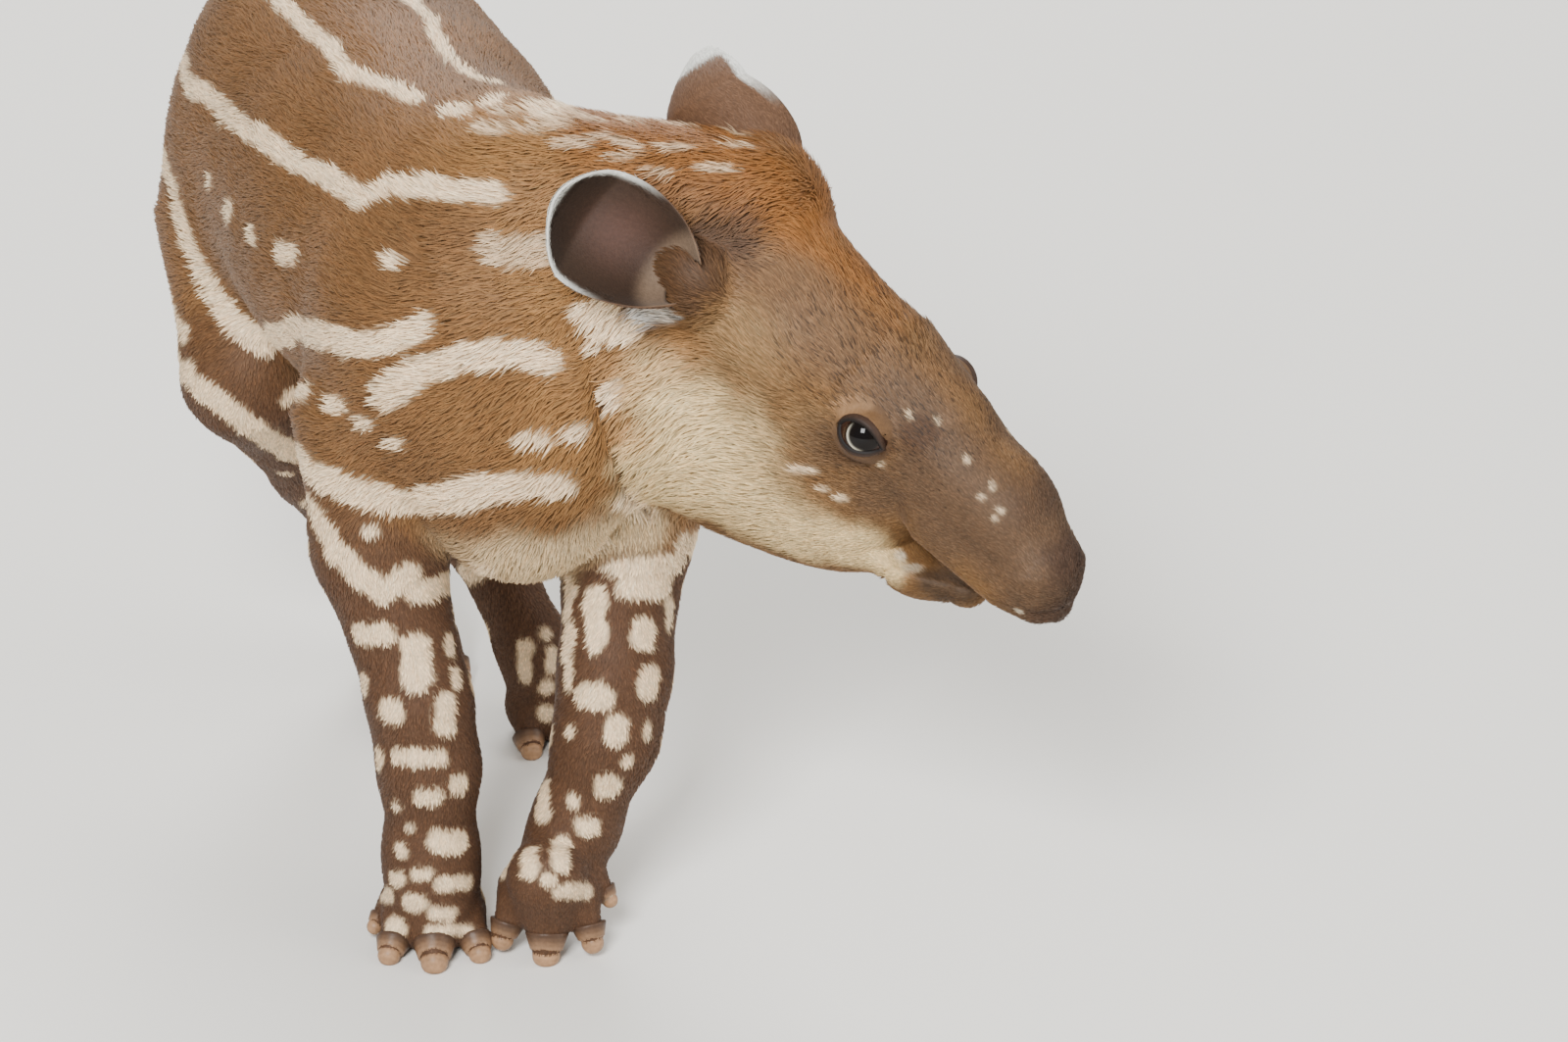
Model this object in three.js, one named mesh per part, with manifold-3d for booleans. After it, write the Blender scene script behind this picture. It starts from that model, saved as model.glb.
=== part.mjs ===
// Young lowland tapir, life size, standing with its head lowered and turned to its left.
// Millimetres. The animal faces -Y, its left side is +X, +Z is up.
// The body is one smooth form, given by round masses that melt into each other.
// It is meshed piece by piece and parted with thin flat cuts.
import * as THREE from "three";
import Module from "manifold-3d";

const GAP = 0.3; // air between two touching pieces
const FLOOR = 0; // height of the soles before the model is centred
const CLOSE = 0.05; // corners nearer than this are joined after a cut
const NEEDLE = 0.01; // triangles lower than this are turned

// Head pose: the point midway between the eyes, then turn, dip and roll in degrees.
const HEAD_CENTRE = new THREE.Vector3(163.5, -152.8, 272.5);
const HEAD_TURN = 32.2;
const HEAD_DIP = 32.9;
const HEAD_ROLL = 0;

// Eye and lids
const EYE_RADIUS = 12;
const EYE_SIDE = 29.5; // from the middle of the head to the middle of the eyeball
const LID_RADIUS = 14.2;
const LID_FRONT = [10.8, -2.2]; // inner corner of the opening: forward, up
const LID_BACK = [-10.4, 0.8]; // outer corner
const LID_TOP = 10.2; // pull of the upper lid's edge
const LID_BOTTOM = -10.4;
const LID_PLUG_RADIUS = 18;

// Ear
const EAR_LENGTH = 64;
const EAR_HALF_WIDTH = 27;
const EAR_WALL = 2.6;

// Heights of the level cuts through the legs
const ELBOW_CUT = 184;
const WRIST_CUT = 84;
const FORE_FOOT_CUT = 36;
const KNEE_CUT = 172;
const HOCK_CUT = 92;
const HIND_FOOT_CUT = 36;

// Mesh fineness: side of the sampling cell for each kind of piece
const CELL = { torso: 18, neck: 12.5, head: 10, snout: 6, jaw: 6.4, lids: 4,
  limb: 12, foot: 8.4, hoof: 6, tail: 8 };

const rad = THREE.MathUtils.degToRad;
const clamp = THREE.MathUtils.clamp;
const V = (x, y, z) => new THREE.Vector3(x, y, z);

// Smooth minimum and maximum of two distances, with k the width of the blend.
function blendMin(a, b, k) {
  const h = clamp(0.5 + (0.5 * (b - a)) / k, 0, 1);
  return b + (a - b) * h - k * h * (1 - h);
}

function blendMax(a, b, k) {
  return -blendMin(-a, -b, k);
}

// Distance to an egg-shaped mass with its own middle, half sizes and turn.
function egg(centre, half, turn = null, k = 18) {
  const back = turn ? turn.clone().invert() : null;
  const q = V(0, 0, 0);
  const least = Math.min(half.x, half.y, half.z);
  return {
    k,
    at(p) {
      q.copy(p).sub(centre);
      if (back) q.applyQuaternion(back);
      const k0 = Math.hypot(q.x / half.x, q.y / half.y, q.z / half.z);
      const k1 = Math.hypot(q.x / half.x ** 2, q.y / half.y ** 2, q.z / half.z ** 2);
      return k1 < 1e-9 ? -least : (k0 * (k0 - 1)) / k1;
    },
  };
}

// Distance to a limb-like mass: a ball at each end and a taper between them.
function taper(a, b, ra, rb, k = 12) {
  const axis = b.clone().sub(a);
  const length = axis.length();
  axis.divideScalar(length);
  const sine = (ra - rb) / length;
  const cosine = Math.sqrt(1 - sine * sine);
  const q = V(0, 0, 0);
  return {
    k,
    at(p) {
      q.copy(p).sub(a);
      const along = q.dot(axis);
      const off = Math.sqrt(Math.max(q.lengthSq() - along * along, 0));
      const t = along + (off * sine) / cosine;
      if (t <= 0) return Math.hypot(along, off) - ra;
      if (t >= length) return Math.hypot(along - length, off) - rb;
      return off * cosine + along * sine - ra;
    },
  };
}

// Masses joined in order, each with its own blend.
function join(masses) {
  return (p) => {
    let d = masses[0].at(p);
    for (let i = 1; i < masses.length; i += 1) d = blendMin(d, masses[i].at(p), masses[i].k);
    return d;
  };
}

// The head has its own axes: forward to the snout, to its left, and up.
const headTurn = new THREE.Quaternion()
  .setFromAxisAngle(V(0, 0, 1), rad(HEAD_TURN))
  .multiply(new THREE.Quaternion().setFromAxisAngle(V(1, 0, 0), rad(HEAD_DIP)))
  .multiply(new THREE.Quaternion().setFromAxisAngle(V(0, 1, 0), rad(HEAD_ROLL)));
const headDir = (forward, left, up) => V(left, -forward, up).applyQuaternion(headTurn);
const headAt = (forward, left, up) => headDir(forward, left, up).add(HEAD_CENTRE);
const headEgg = (forward, left, up, half, k) =>
  egg(headAt(forward, left, up), V(half[1], half[0], half[2]), headTurn, k);

// Masses of the trunk
const TORSO = [
  egg(V(9, 96, 286), V(82, 152, 96), null, 20),
  egg(V(16, -8, 287), V(66, 76, 92), null, 30),
  egg(V(6, 182, 290), V(74, 90, 90), null, 30),
  egg(V(22, -48, 262), V(48, 44, 62), null, 25),
  egg(V(-28, -18, 262), V(34, 46, 72), null, 22),
  egg(V(60, -22, 262), V(32, 46, 72), null, 22),
  egg(V(-40, 188, 248), V(34, 56, 66), null, 22),
  egg(V(50, 182, 248), V(34, 58, 66), null, 22),
];

// Masses of the neck, from the shoulders to the back of the skull
const NECK = [
  taper(V(24, -28, 290), headAt(-110, 2, -10), 57, 36, 26),
  taper(V(38, -32, 336), headAt(-114, 6, 12), 44, 30, 22),
  taper(V(48, -60, 256), headAt(-66, 0, -50), 46, 44, 24),
];

// Masses of the head
const SKULL = [
  headEgg(-60, 0, -11, [72, 43, 49], 20),
  headEgg(-28, 0, -52, [62, 42, 48], 22),
  headEgg(-58, 0, -66, [54, 42, 46], 24),
  headEgg(-99, -43, 2, [20, 15, 19], 12),
  headEgg(-106, 26, 14, [20, 15, 17], 12),
  taper(headAt(-14, 0, 2), headAt(66, 0, 7), 36, 24, 16),
  taper(headAt(-70, 0, 26), headAt(20, 0, 27), 14, 11, 14),
];
const SNOUT = [
  taper(headAt(60, 0, 8), headAt(94, 0, -1), 23.5, 19, 10),
  taper(headAt(94, 0, -2), headAt(103, 0, -15), 18.5, 15.5, 8),
  taper(headAt(44, -9, -14), headAt(86, -7, -15), 17, 12.5, 8),
  taper(headAt(44, 9, -14), headAt(86, 7, -15), 17, 12.5, 8),
];
const JAW = [
  taper(headAt(-6, 0, -46), headAt(48, 0, -47), 32, 19, 14),
  taper(headAt(48, 0, -47), headAt(74, 0, -39), 18.5, 12, 10),
];

// One leg: joints from the trunk to the ankle, with the half thickness at each.
function limb(points, k = 12) {
  const parts = [];
  for (let i = 0; i + 1 < points.length; i += 1) {
    const [a, ra] = points[i];
    const [b, rb] = points[i + 1];
    parts.push(taper(a, b, ra, rb, k));
  }
  return parts;
}

const LIMBS = {
  right_foreleg: limb([[V(-36, -8, 232), 38], [V(-47, -26, 180), 33], [V(-40, -58, 112), 25],
    [V(-38, -66, 84), 23], [V(-39, -72, 40), 20.5], [V(-39, -76, 22), 20]], 12),
  left_foreleg: limb([[V(64, -20, 232), 36], [V(70, -42, 180), 32], [V(54, -72, 118), 25],
    [V(47, -80, 92), 23], [V(33, -84, 50), 20], [V(24, -86, 34), 19]], 12),
  right_hindleg: limb([[V(-36, 188, 240), 44], [V(-50, 146, 186), 33], [V(-12, 182, 112), 20],
    [V(2, 190, 92), 18.5], [V(24, 176, 40), 16.5], [V(29, 170, 22), 18]], 12),
  left_hindleg: limb([[V(46, 180, 238), 42], [V(60, 120, 186), 32], [V(54, 128, 112), 21],
    [V(54, 128, 92), 18.5], [V(70, 98, 40), 16.5], [V(74, 90, 22), 18]], 12),
};

// Feet: middle of the sole, heading in degrees (0 is -Y, positive to the animal's left),
// and how far the foot is tipped onto its toes.
const FEET = {
  right_forefoot: { at: V(-38, -78, 0), heading: -18, tip: 0, toes: 4, side: -1 },
  left_forefoot: { at: V(22, -88, 0), heading: -24, tip: 34, toes: 4, side: 1 },
  right_hindfoot: { at: V(30, 166, 0), heading: -8, tip: 0, toes: 3, side: -1 },
  left_hindfoot: { at: V(76, 86, 0), heading: 6, tip: 0, toes: 3, side: 1 },
};

// Toes of one foot: forward and sideways place, half width, length and splay.
function toeList(foot) {
  const fore = foot.toes === 4;
  const list = [
    { name: "middle", forward: 13, out: 0, half: 10.2, reach: 13, splay: 0, lift: 0 },
    { name: "inner", forward: 8, out: -17.5, half: 8.4, reach: 11, splay: -16, lift: 0 },
    { name: "outer", forward: 8, out: 17.5, half: 8.4, reach: 11, splay: 16, lift: 0 },
  ];
  if (fore) {
    list.push({ name: "side", forward: -8, out: 22.5, half: 6, reach: 8, splay: 36, lift: 4 });
  }
  return list;
}

// Places on a foot, tipped about the toe line where the foot stands on its toes.
function footFrame(foot) {
  const turn = new THREE.Quaternion().setFromAxisAngle(V(0, 0, 1), rad(foot.heading));
  const dip = new THREE.Quaternion().setFromAxisAngle(V(1, 0, 0), rad(foot.tip));
  const whole = turn.clone().multiply(dip);
  const pivot = V(0, -26, 0);
  const at = (forward, out, up) => V(out * foot.side, -forward, up)
    .sub(pivot).applyQuaternion(dip).add(pivot).applyQuaternion(turn).add(foot.at);
  return { at, whole };
}

function toeSetup(foot, toe) {
  const frame = footFrame(foot);
  const splay = new THREE.Quaternion()
    .setFromAxisAngle(V(0, 0, 1), rad(toe.splay * foot.side));
  const turn = frame.whole.clone().multiply(splay);
  const dir = (forward, out, up) => V(out * foot.side, -forward, up).applyQuaternion(turn);
  const root = frame.at(toe.forward, toe.out, toe.half + toe.lift);
  return { dir, turn, root };
}

function footMasses(foot) {
  const frame = footFrame(foot);
  const parts = [
    taper(frame.at(-2, 0, 27), frame.at(2, 0, 14), 19, 18.5, 8),
    taper(frame.at(-4, -8, 11), frame.at(-4, 9, 11), 14, 14, 8),
  ];
  for (const toe of toeList(foot)) {
    const { dir, root } = toeSetup(foot, toe);
    const tip = root.clone().add(dir(toe.reach * 0.8, 0, -toe.half * 0.4));
    const knuckle = root.clone().add(dir(-toe.reach, 0, 8));
    parts.push(taper(knuckle, tip, toe.half * 1.02, toe.half * 0.72, 5));
  }
  return parts;
}

const FOOT_OF = {
  right_foreleg: "right_forefoot",
  left_foreleg: "left_forefoot",
  right_hindleg: "right_hindfoot",
  left_hindleg: "left_hindfoot",
};

const TAIL = [taper(V(5, 262, 308), V(7, 290, 266), 12, 7.5, 10)];

// The trunk with all that grows out of it
const trunkField = join([...TORSO, ...NECK, ...Object.values(LIMBS).flat(), ...TAIL, ...SKULL]);

// Head field with the brow, the lids and the hollow in front of each eye
const skullField = join([...TORSO, ...NECK, ...SKULL, ...SNOUT, ...JAW]);
const eyeAt = (side) => headAt(0, side * EYE_SIDE, 0);

function lidField(side) {
  const centre = eyeAt(side);
  return (d, p) => {
    const reach = p.distanceTo(centre);
    return reach > 60 ? d : blendMin(d, reach - LID_RADIUS, 5);
  };
}

// The opening between the lids, as a straight-sided almond through the lid.
function lidOpening(side) {
  const shape = new THREE.Shape();
  shape.moveTo(...LID_FRONT);
  shape.bezierCurveTo(6.2, LID_TOP, -6.6, LID_TOP, ...LID_BACK);
  shape.bezierCurveTo(-7.2, LID_BOTTOM, 4.6, LID_BOTTOM, ...LID_FRONT);
  const geometry = new THREE.ExtrudeGeometry(shape,
    { depth: 30, bevelEnabled: false, curveSegments: 9 });
  geometry.applyMatrix4(new THREE.Matrix4()
    .makeBasis(headDir(1, 0, 0), headDir(0, 0, 1), headDir(0, -1, 0)));
  const start = headAt(0, side > 0 ? EYE_SIDE + 33 : -EYE_SIDE - 3, 0);
  geometry.translate(start.x, start.y, start.z);
  return solid(geometry);
}

const hollows = [-1, 1].map((side) =>
  egg(headAt(31, side * 39, 2), V(9, 17, 12), headTurn));
const lids = [-1, 1].map((side) => lidField(side));

function headField(p) {
  let d = skullField(p);
  for (const hollow of hollows) d = blendMax(d, -hollow.at(p), 9);
  for (const lid of lids) d = lid(d, p);
  return d;
}

// The mouth: a slanting sheet from the corner forward, and the lips on both sides of it.
const MOUTH_CORNER = [49, -46];
const MOUTH_SLOPE = 0.47;
const mouthUp = headDir(-MOUTH_SLOPE, 0, 1).normalize();
const mouthPoint = headAt(MOUTH_CORNER[0], 0, MOUTH_CORNER[1]);
const JAW_BACK = 20; // the lower jaw piece starts here, forward of the eye
const jawForward = headDir(1, 0, 0);
const jawBackPoint = headAt(JAW_BACK, 0, 0);
const upperField = join([...NECK.slice(2), ...SKULL, ...SNOUT]);
const lowerField = join([...SKULL.slice(1, 2), ...JAW]);

function aboveMouth(p) {
  return p.clone().sub(mouthPoint).dot(mouthUp);
}

function nostril(p) {
  let d = 1e3;
  for (const side of [-1, 1]) {
    const pit = egg(headAt(117, side * 6.4, -17), V(3, 7, 4.6), headTurn);
    d = Math.min(d, pit.at(p));
  }
  return d;
}

function snoutField(p) {
  const upper = upperField(p);
  const lip = 0.6 - aboveMouth(p);
  const d = blendMax(upper, lip, 3.5);
  return blendMax(d, -nostril(p), 1.6);
}

function jawField(p) {
  const lip = aboveMouth(p) + 0.6;
  return blendMax(lowerField(p), lip, 3);
}

// Surface of a field inside a box: one corner per cell, moved onto the surface.
function meshField(field, low, high, cell) {
  const size = high.clone().sub(low);
  const nx = Math.ceil(size.x / cell) + 2;
  const ny = Math.ceil(size.y / cell) + 2;
  const nz = Math.ceil(size.z / cell) + 2;
  const mid = low.clone().add(high).multiplyScalar(0.5);
  const half = size.clone().multiplyScalar(0.5);
  const start = mid.clone().sub(V(nx, ny, nz).multiplyScalar(cell / 2));
  const walled = (p) => Math.max(field(p), Math.abs(p.x - mid.x) - half.x,
    Math.abs(p.y - mid.y) - half.y, Math.abs(p.z - mid.z) - half.z);
  const sx = nx + 1;
  const sy = ny + 1;
  const sz = nz + 1;
  const value = new Float64Array(sx * sy * sz);
  const p = V(0, 0, 0);
  const id = (i, j, k) => (k * sy + j) * sx + i;
  for (let k = 0; k < sz; k += 1) {
    for (let j = 0; j < sy; j += 1) {
      for (let i = 0; i < sx; i += 1) {
        p.set(i, j, k).multiplyScalar(cell).add(start);
        value[id(i, j, k)] = walled(p) || 1e-6;
      }
    }
  }
  const corners = [];
  const cellIndex = new Map();
  const EDGES = [[0, 1], [2, 3], [4, 5], [6, 7], [0, 2], [1, 3], [4, 6], [5, 7],
    [0, 4], [1, 5], [2, 6], [3, 7]];
  for (let k = 0; k < nz; k += 1) {
    for (let j = 0; j < ny; j += 1) {
      for (let i = 0; i < nx; i += 1) {
        const v = [];
        for (let c = 0; c < 8; c += 1) {
          v.push(value[id(i + (c & 1), j + ((c >> 1) & 1), k + ((c >> 2) & 1))]);
        }
        const inside = v.filter((s) => s < 0).length;
        if (inside === 0 || inside === 8) continue;
        const sum = V(0, 0, 0);
        let n = 0;
        for (const [a, b] of EDGES) {
          if (v[a] < 0 === v[b] < 0) continue;
          const t = v[a] / (v[a] - v[b]);
          const pa = V(a & 1, (a >> 1) & 1, (a >> 2) & 1);
          const pb = V(b & 1, (b >> 1) & 1, (b >> 2) & 1);
          sum.add(pa.lerp(pb, t));
          n += 1;
        }
        sum.divideScalar(n).add(V(i, j, k)).multiplyScalar(cell).add(start);
        settle(walled, sum, cell);
        cellIndex.set(id(i, j, k), corners.length / 3);
        corners.push(sum.x, sum.y, sum.z);
      }
    }
  }
  const faces = [];
  const at = (n) => V(corners[3 * n], corners[3 * n + 1], corners[3 * n + 2]);
  const quad = (a, b, c, d, flip) => {
    const q = flip ? [a, d, c, b] : [a, b, c, d];
    const first = at(q[0]).distanceToSquared(at(q[2]));
    const second = at(q[1]).distanceToSquared(at(q[3]));
    if (first <= second) faces.push(q[0], q[1], q[2], q[0], q[2], q[3]);
    else faces.push(q[1], q[2], q[3], q[1], q[3], q[0]);
  };
  for (let k = 1; k < nz; k += 1) {
    for (let j = 1; j < ny; j += 1) {
      for (let i = 1; i < nx; i += 1) {
        const here = value[id(i, j, k)] < 0;
        const get = (a, b, c) => cellIndex.get(id(a, b, c));
        if (here !== value[id(i + 1, j, k)] < 0) {
          quad(get(i, j - 1, k - 1), get(i, j, k - 1), get(i, j, k), get(i, j - 1, k), !here);
        }
        if (here !== value[id(i, j + 1, k)] < 0) {
          quad(get(i - 1, j, k - 1), get(i - 1, j, k), get(i, j, k), get(i, j, k - 1), !here);
        }
        if (here !== value[id(i, j, k + 1)] < 0) {
          quad(get(i - 1, j - 1, k), get(i, j - 1, k), get(i, j, k), get(i - 1, j, k), !here);
        }
      }
    }
  }
  // an edge used twice the same way pinches the surface: slightly finer cells avoid it
  const seen = new Set();
  for (let t = 0; t < faces.length; t += 1) {
    const edge = `${faces[t]},${faces[t % 3 === 2 ? t - 2 : t + 1]}`;
    if (seen.has(edge)) return meshField(field, low, high, cell * 0.97);
    seen.add(edge);
  }
  const geometry = new THREE.BufferGeometry();
  geometry.setAttribute("position", new THREE.Float32BufferAttribute(corners, 3));
  geometry.setIndex(faces);
  return geometry;
}

// Moves a point onto the surface along the steepest way, never far from where it was.
function settle(field, point, cell) {
  const from = point.clone();
  const step = 0.05;
  const q = V(0, 0, 0);
  for (let n = 0; n < 3; n += 1) {
    const d = field(point);
    const g = V(
      field(q.copy(point).add(V(step, 0, 0))) - d,
      field(q.copy(point).add(V(0, step, 0))) - d,
      field(q.copy(point).add(V(0, 0, step))) - d,
    ).divideScalar(step);
    const steep = g.lengthSq();
    if (steep < 1e-6) break;
    point.addScaledVector(g, -d / steep);
    if (point.distanceTo(from) > 0.45 * cell) {
      point.copy(from);
      break;
    }
  }
}

// Solids
const wasm = await Module();
wasm.setup();
const { Manifold, Mesh } = wasm;

function solid(geometry) {
  const source = geometry.index ? geometry : geometry;
  const position = source.getAttribute("position");
  const verts = new Float32Array(position.count * 3);
  for (let i = 0; i < position.count; i += 1) {
    verts[3 * i] = position.getX(i);
    verts[3 * i + 1] = position.getY(i);
    verts[3 * i + 2] = position.getZ(i);
  }
  const index = source.index ? Array.from(source.index.array) : [...Array(position.count).keys()];
  const mesh = new Mesh({ numProp: 3, vertProperties: verts, triVerts: new Uint32Array(index) });
  mesh.merge();
  return new Manifold(mesh);
}

// A block between two planes across an axis, wide enough to pass right through a piece.
function block(centre, half, turn = null) {
  const geometry = new THREE.BoxGeometry(2 * half.x, 2 * half.y, 2 * half.z);
  if (turn) geometry.applyQuaternion(turn);
  geometry.translate(centre.x, centre.y, centre.z);
  return solid(geometry);
}

// Everything on the far side of a plane, seen along its normal.
function beyond(point, normal, reach = 600) {
  const turn = new THREE.Quaternion().setFromUnitVectors(V(0, 0, 1), normal.clone().normalize());
  const centre = point.clone().addScaledVector(normal.clone().normalize(), reach);
  return block(centre, V(reach, reach, reach), turn);
}

const heightBand = (low, high) => block(V(0, 80, (low + high) / 2), V(700, 700, (high - low) / 2));

function largest(manifold) {
  const parts = manifold.decompose();
  parts.sort((a, b) => b.volume() - a.volume());
  return parts[0];
}

// A cut can leave triangles with next to no height: each swaps its long side
// for the other diagonal of the pair it forms with its neighbour.
function turnNeedles(faces, at) {
  const owner = new Map();
  const key = (a, b) => `${a},${b}`;
  for (let t = 0; t < faces.length; t += 3) {
    for (let c = 0; c < 3; c += 1) owner.set(key(faces[t + c], faces[t + ((c + 1) % 3)]), t);
  }
  const used = new Set();
  for (let t = 0; t < faces.length; t += 3) {
    const tri = [faces[t], faces[t + 1], faces[t + 2]];
    const length = tri.map((n, c) => at(n).distanceTo(at(tri[(c + 1) % 3])));
    const far = length.indexOf(Math.max(...length));
    const [a, b, apex] = [tri[far], tri[(far + 1) % 3], tri[(far + 2) % 3]];
    const side = at(b).sub(at(a));
    const height = side.clone().cross(at(apex).sub(at(a))).length() / length[far];
    const other = owner.get(key(b, a));
    if (height > NEEDLE || other === undefined || used.has(t) || used.has(other)) continue;
    const across = [faces[other], faces[other + 1], faces[other + 2]]
      .find((n) => n !== a && n !== b);
    if (owner.has(key(apex, across)) || owner.has(key(across, apex))) continue;
    faces.splice(t, 3, a, across, apex);
    faces.splice(other, 3, across, b, apex);
    owner.set(key(across, apex), t);
    owner.set(key(apex, across), other);
    used.add(t);
    used.add(other);
    for (const edge of [[a, across], [across, b]]) {
      const next = owner.get(key(edge[1], edge[0]));
      if (next !== undefined) used.add(next);
    }
  }
}

// Corners that a cut left almost on top of each other become one.
function toGeometry(manifold) {
  const mesh = manifold.getMesh();
  const count = mesh.vertProperties.length / mesh.numProp;
  const at = (n) => V(...mesh.vertProperties.slice(mesh.numProp * n, mesh.numProp * n + 3));
  const owner = [...Array(count).keys()];
  const find = (n) => {
    let top = n;
    while (owner[top] !== top) top = owner[top];
    return top;
  };
  const tris = mesh.triVerts;
  for (let t = 0; t < tris.length; t += 1) {
    const a = tris[t];
    const b = tris[t % 3 === 2 ? t - 2 : t + 1];
    if (at(a).distanceTo(at(b)) > CLOSE) continue;
    const [low, high] = [find(a), find(b)].sort((p, q) => p - q);
    owner[high] = low;
  }
  const faces = [];
  for (let t = 0; t < tris.length; t += 3) {
    const [a, b, c] = [find(tris[t]), find(tris[t + 1]), find(tris[t + 2])];
    if (a !== b && b !== c && c !== a) faces.push(a, b, c);
  }
  for (let pass = 0; pass < 3; pass += 1) turnNeedles(faces, at);
  const geometry = new THREE.BufferGeometry();
  const verts = new Float32Array(count * 3);
  for (let i = 0; i < count; i += 1) at(i).toArray(verts, 3 * i);
  geometry.setAttribute("position", new THREE.BufferAttribute(verts, 3));
  geometry.setIndex(faces);
  return geometry;
}

// Colours
const COAT = 0x7f5c46;
const DARK_COAT = 0x5c4334;
const HORN = 0x8d7565;
const EYE = 0x0c0a0a;

const group = new THREE.Group();
group.name = "lowland_tapir_calf";

function addMesh(name, geometry, colour, roughness = 0.85) {
  geometry.computeVertexNormals();
  const material = new THREE.MeshStandardMaterial({ color: colour, roughness });
  const mesh = new THREE.Mesh(geometry, material);
  mesh.name = name;
  group.add(mesh);
}

function addSolid(name, manifold, colour, roughness) {
  addMesh(name, toGeometry(largest(manifold)), colour, roughness);
}

// Cuts shared by neighbours
const neckNormal = V(0.86, -0.42, 0.16).normalize();
const neckPoint = V(74, -62, 300);
const breastNormal = V(0, -0.3, 0.95).normalize();
const breastPoint = V(70, -60, 198);
const skullNormal = headDir(1, 0, 0.1).normalize();
const skullPoint = headAt(-100, 0, 0);
const throatNormal = headDir(0.75, 0, 0.66).normalize();
const throatPoint = headAt(-70, 0, -72);
const snoutPoint = headAt(74, 0, 0);
const snoutNormal = headDir(1, 0, 0);
const tailPoint = V(6, 275, 290);
const tailNormal = V(0, 0.97, -0.24).normalize();
const shift = (point, normal, d) => point.clone().addScaledVector(normal, d);

const floorUp = heightBand(FLOOR, 900);

// Regions of the four legs below the belly
const LEG_BOX = {
  right_foreleg: [V(-100, -130, -20), V(-6, 30, 0)],
  left_foreleg: [V(-2, -140, -20), V(120, 30, 0)],
  right_hindleg: [V(-110, 90, -20), V(70, 270, 0)],
  left_hindleg: [V(10, 30, -20), V(130, 240, 0)],
};

function legBlock(name, low, high, grow = 0) {
  const [a, b] = LEG_BOX[name];
  const centre = V((a.x + b.x) / 2, (a.y + b.y) / 2, (low + high) / 2);
  return block(centre, V((b.x - a.x) / 2 + grow, (b.y - a.y) / 2 + grow, (high - low) / 2));
}

// The neck lies beyond its own cut and above the breast cut.
function neckRegion(d) {
  return beyond(shift(neckPoint, neckNormal, d), neckNormal)
    .intersect(beyond(shift(breastPoint, breastNormal, d), breastNormal));
}

// Trunk
const legTops = { right_foreleg: ELBOW_CUT, left_foreleg: ELBOW_CUT,
  right_hindleg: KNEE_CUT, left_hindleg: KNEE_CUT };
let torso = solid(meshField(trunkField, V(-140, -150, 120), V(160, 330, 420), CELL.torso));
for (const [name, top] of Object.entries(legTops)) {
  torso = torso.subtract(legBlock(name, -30, top + GAP, 60));
}
torso = torso.subtract(neckRegion(0));
torso = torso.subtract(beyond(tailPoint, tailNormal));
addSolid("torso", torso, COAT);

const tail = solid(meshField(trunkField, V(-40, 250, 230), V(50, 315, 340), CELL.tail))
  .intersect(beyond(shift(tailPoint, tailNormal, GAP), tailNormal));
addSolid("tail", tail, COAT);

// The head lies ahead of the skull cut and above the throat cut.
function headRegion(d) {
  return beyond(shift(skullPoint, skullNormal, d), skullNormal)
    .intersect(beyond(shift(throatPoint, throatNormal, d), throatNormal));
}

// Neck
const neck = solid(meshField(trunkField, V(-10, -190, 180), V(210, 30, 430), CELL.neck))
  .intersect(neckRegion(GAP))
  .subtract(headRegion(-GAP));
addSolid("neck", neck, COAT);

// Head with sockets for the eyes
const headLow = V(40, -300, 130);
const headHigh = V(300, -20, 420);
const plugTurn = headTurn.clone()
  .multiply(new THREE.Quaternion().setFromAxisAngle(V(0, 0, 1), Math.PI / 2));

function plug(side, grow) {
  const length = 40;
  const geometry = new THREE.CylinderGeometry(LID_PLUG_RADIUS + grow, LID_PLUG_RADIUS + grow,
    length, 28);
  geometry.applyQuaternion(plugTurn);
  const centre = headAt(0, side * (EYE_SIDE - 14 - grow + length / 2), 0);
  geometry.translate(centre.x, centre.y, centre.z);
  return solid(geometry);
}

function ball(centre, radius, around = 16, down = 11) {
  const geometry = new THREE.SphereGeometry(radius, around, down);
  geometry.applyQuaternion(plugTurn);
  geometry.translate(centre.x, centre.y, centre.z);
  return solid(geometry);
}

let head = solid(meshField(headField, headLow, headHigh, CELL.head))
  .intersect(headRegion(0))
  .intersect(neckRegion(GAP))
  .subtract(beyond(snoutPoint, snoutNormal));
const belowMouth = beyond(shift(mouthPoint, mouthUp, 0), mouthUp.clone().negate());
const aheadOfJaw = beyond(jawBackPoint, jawForward);
head = head.subtract(belowMouth.intersect(aheadOfJaw));
for (const side of [-1, 1]) head = head.subtract(plug(side, GAP));
addSolid("head", head, COAT);

for (const side of [-1, 1]) {
  const name = side < 0 ? "right" : "left";
  const reach = 30;
  const corner = eyeAt(side);
  const lid = solid(meshField(headField, corner.clone().subScalar(reach),
    corner.clone().addScalar(reach), CELL.lids))
    .intersect(plug(side, 0))
    .subtract(ball(corner, EYE_RADIUS + 0.35))
    .subtract(lidOpening(side));
  addSolid(`eyelids_${name}`, lid, DARK_COAT);
  addSolid(`eye_${name}`, ball(corner, EYE_RADIUS), EYE, 0.08);
}

// Snout and lower jaw
const snout = solid(meshField(snoutField, headAt(95, 0, 0).subScalar(60),
  headAt(95, 0, 0).addScalar(60), CELL.snout))
  .intersect(beyond(shift(snoutPoint, snoutNormal, GAP), snoutNormal));
addSolid("proboscis", snout, DARK_COAT);

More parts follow.
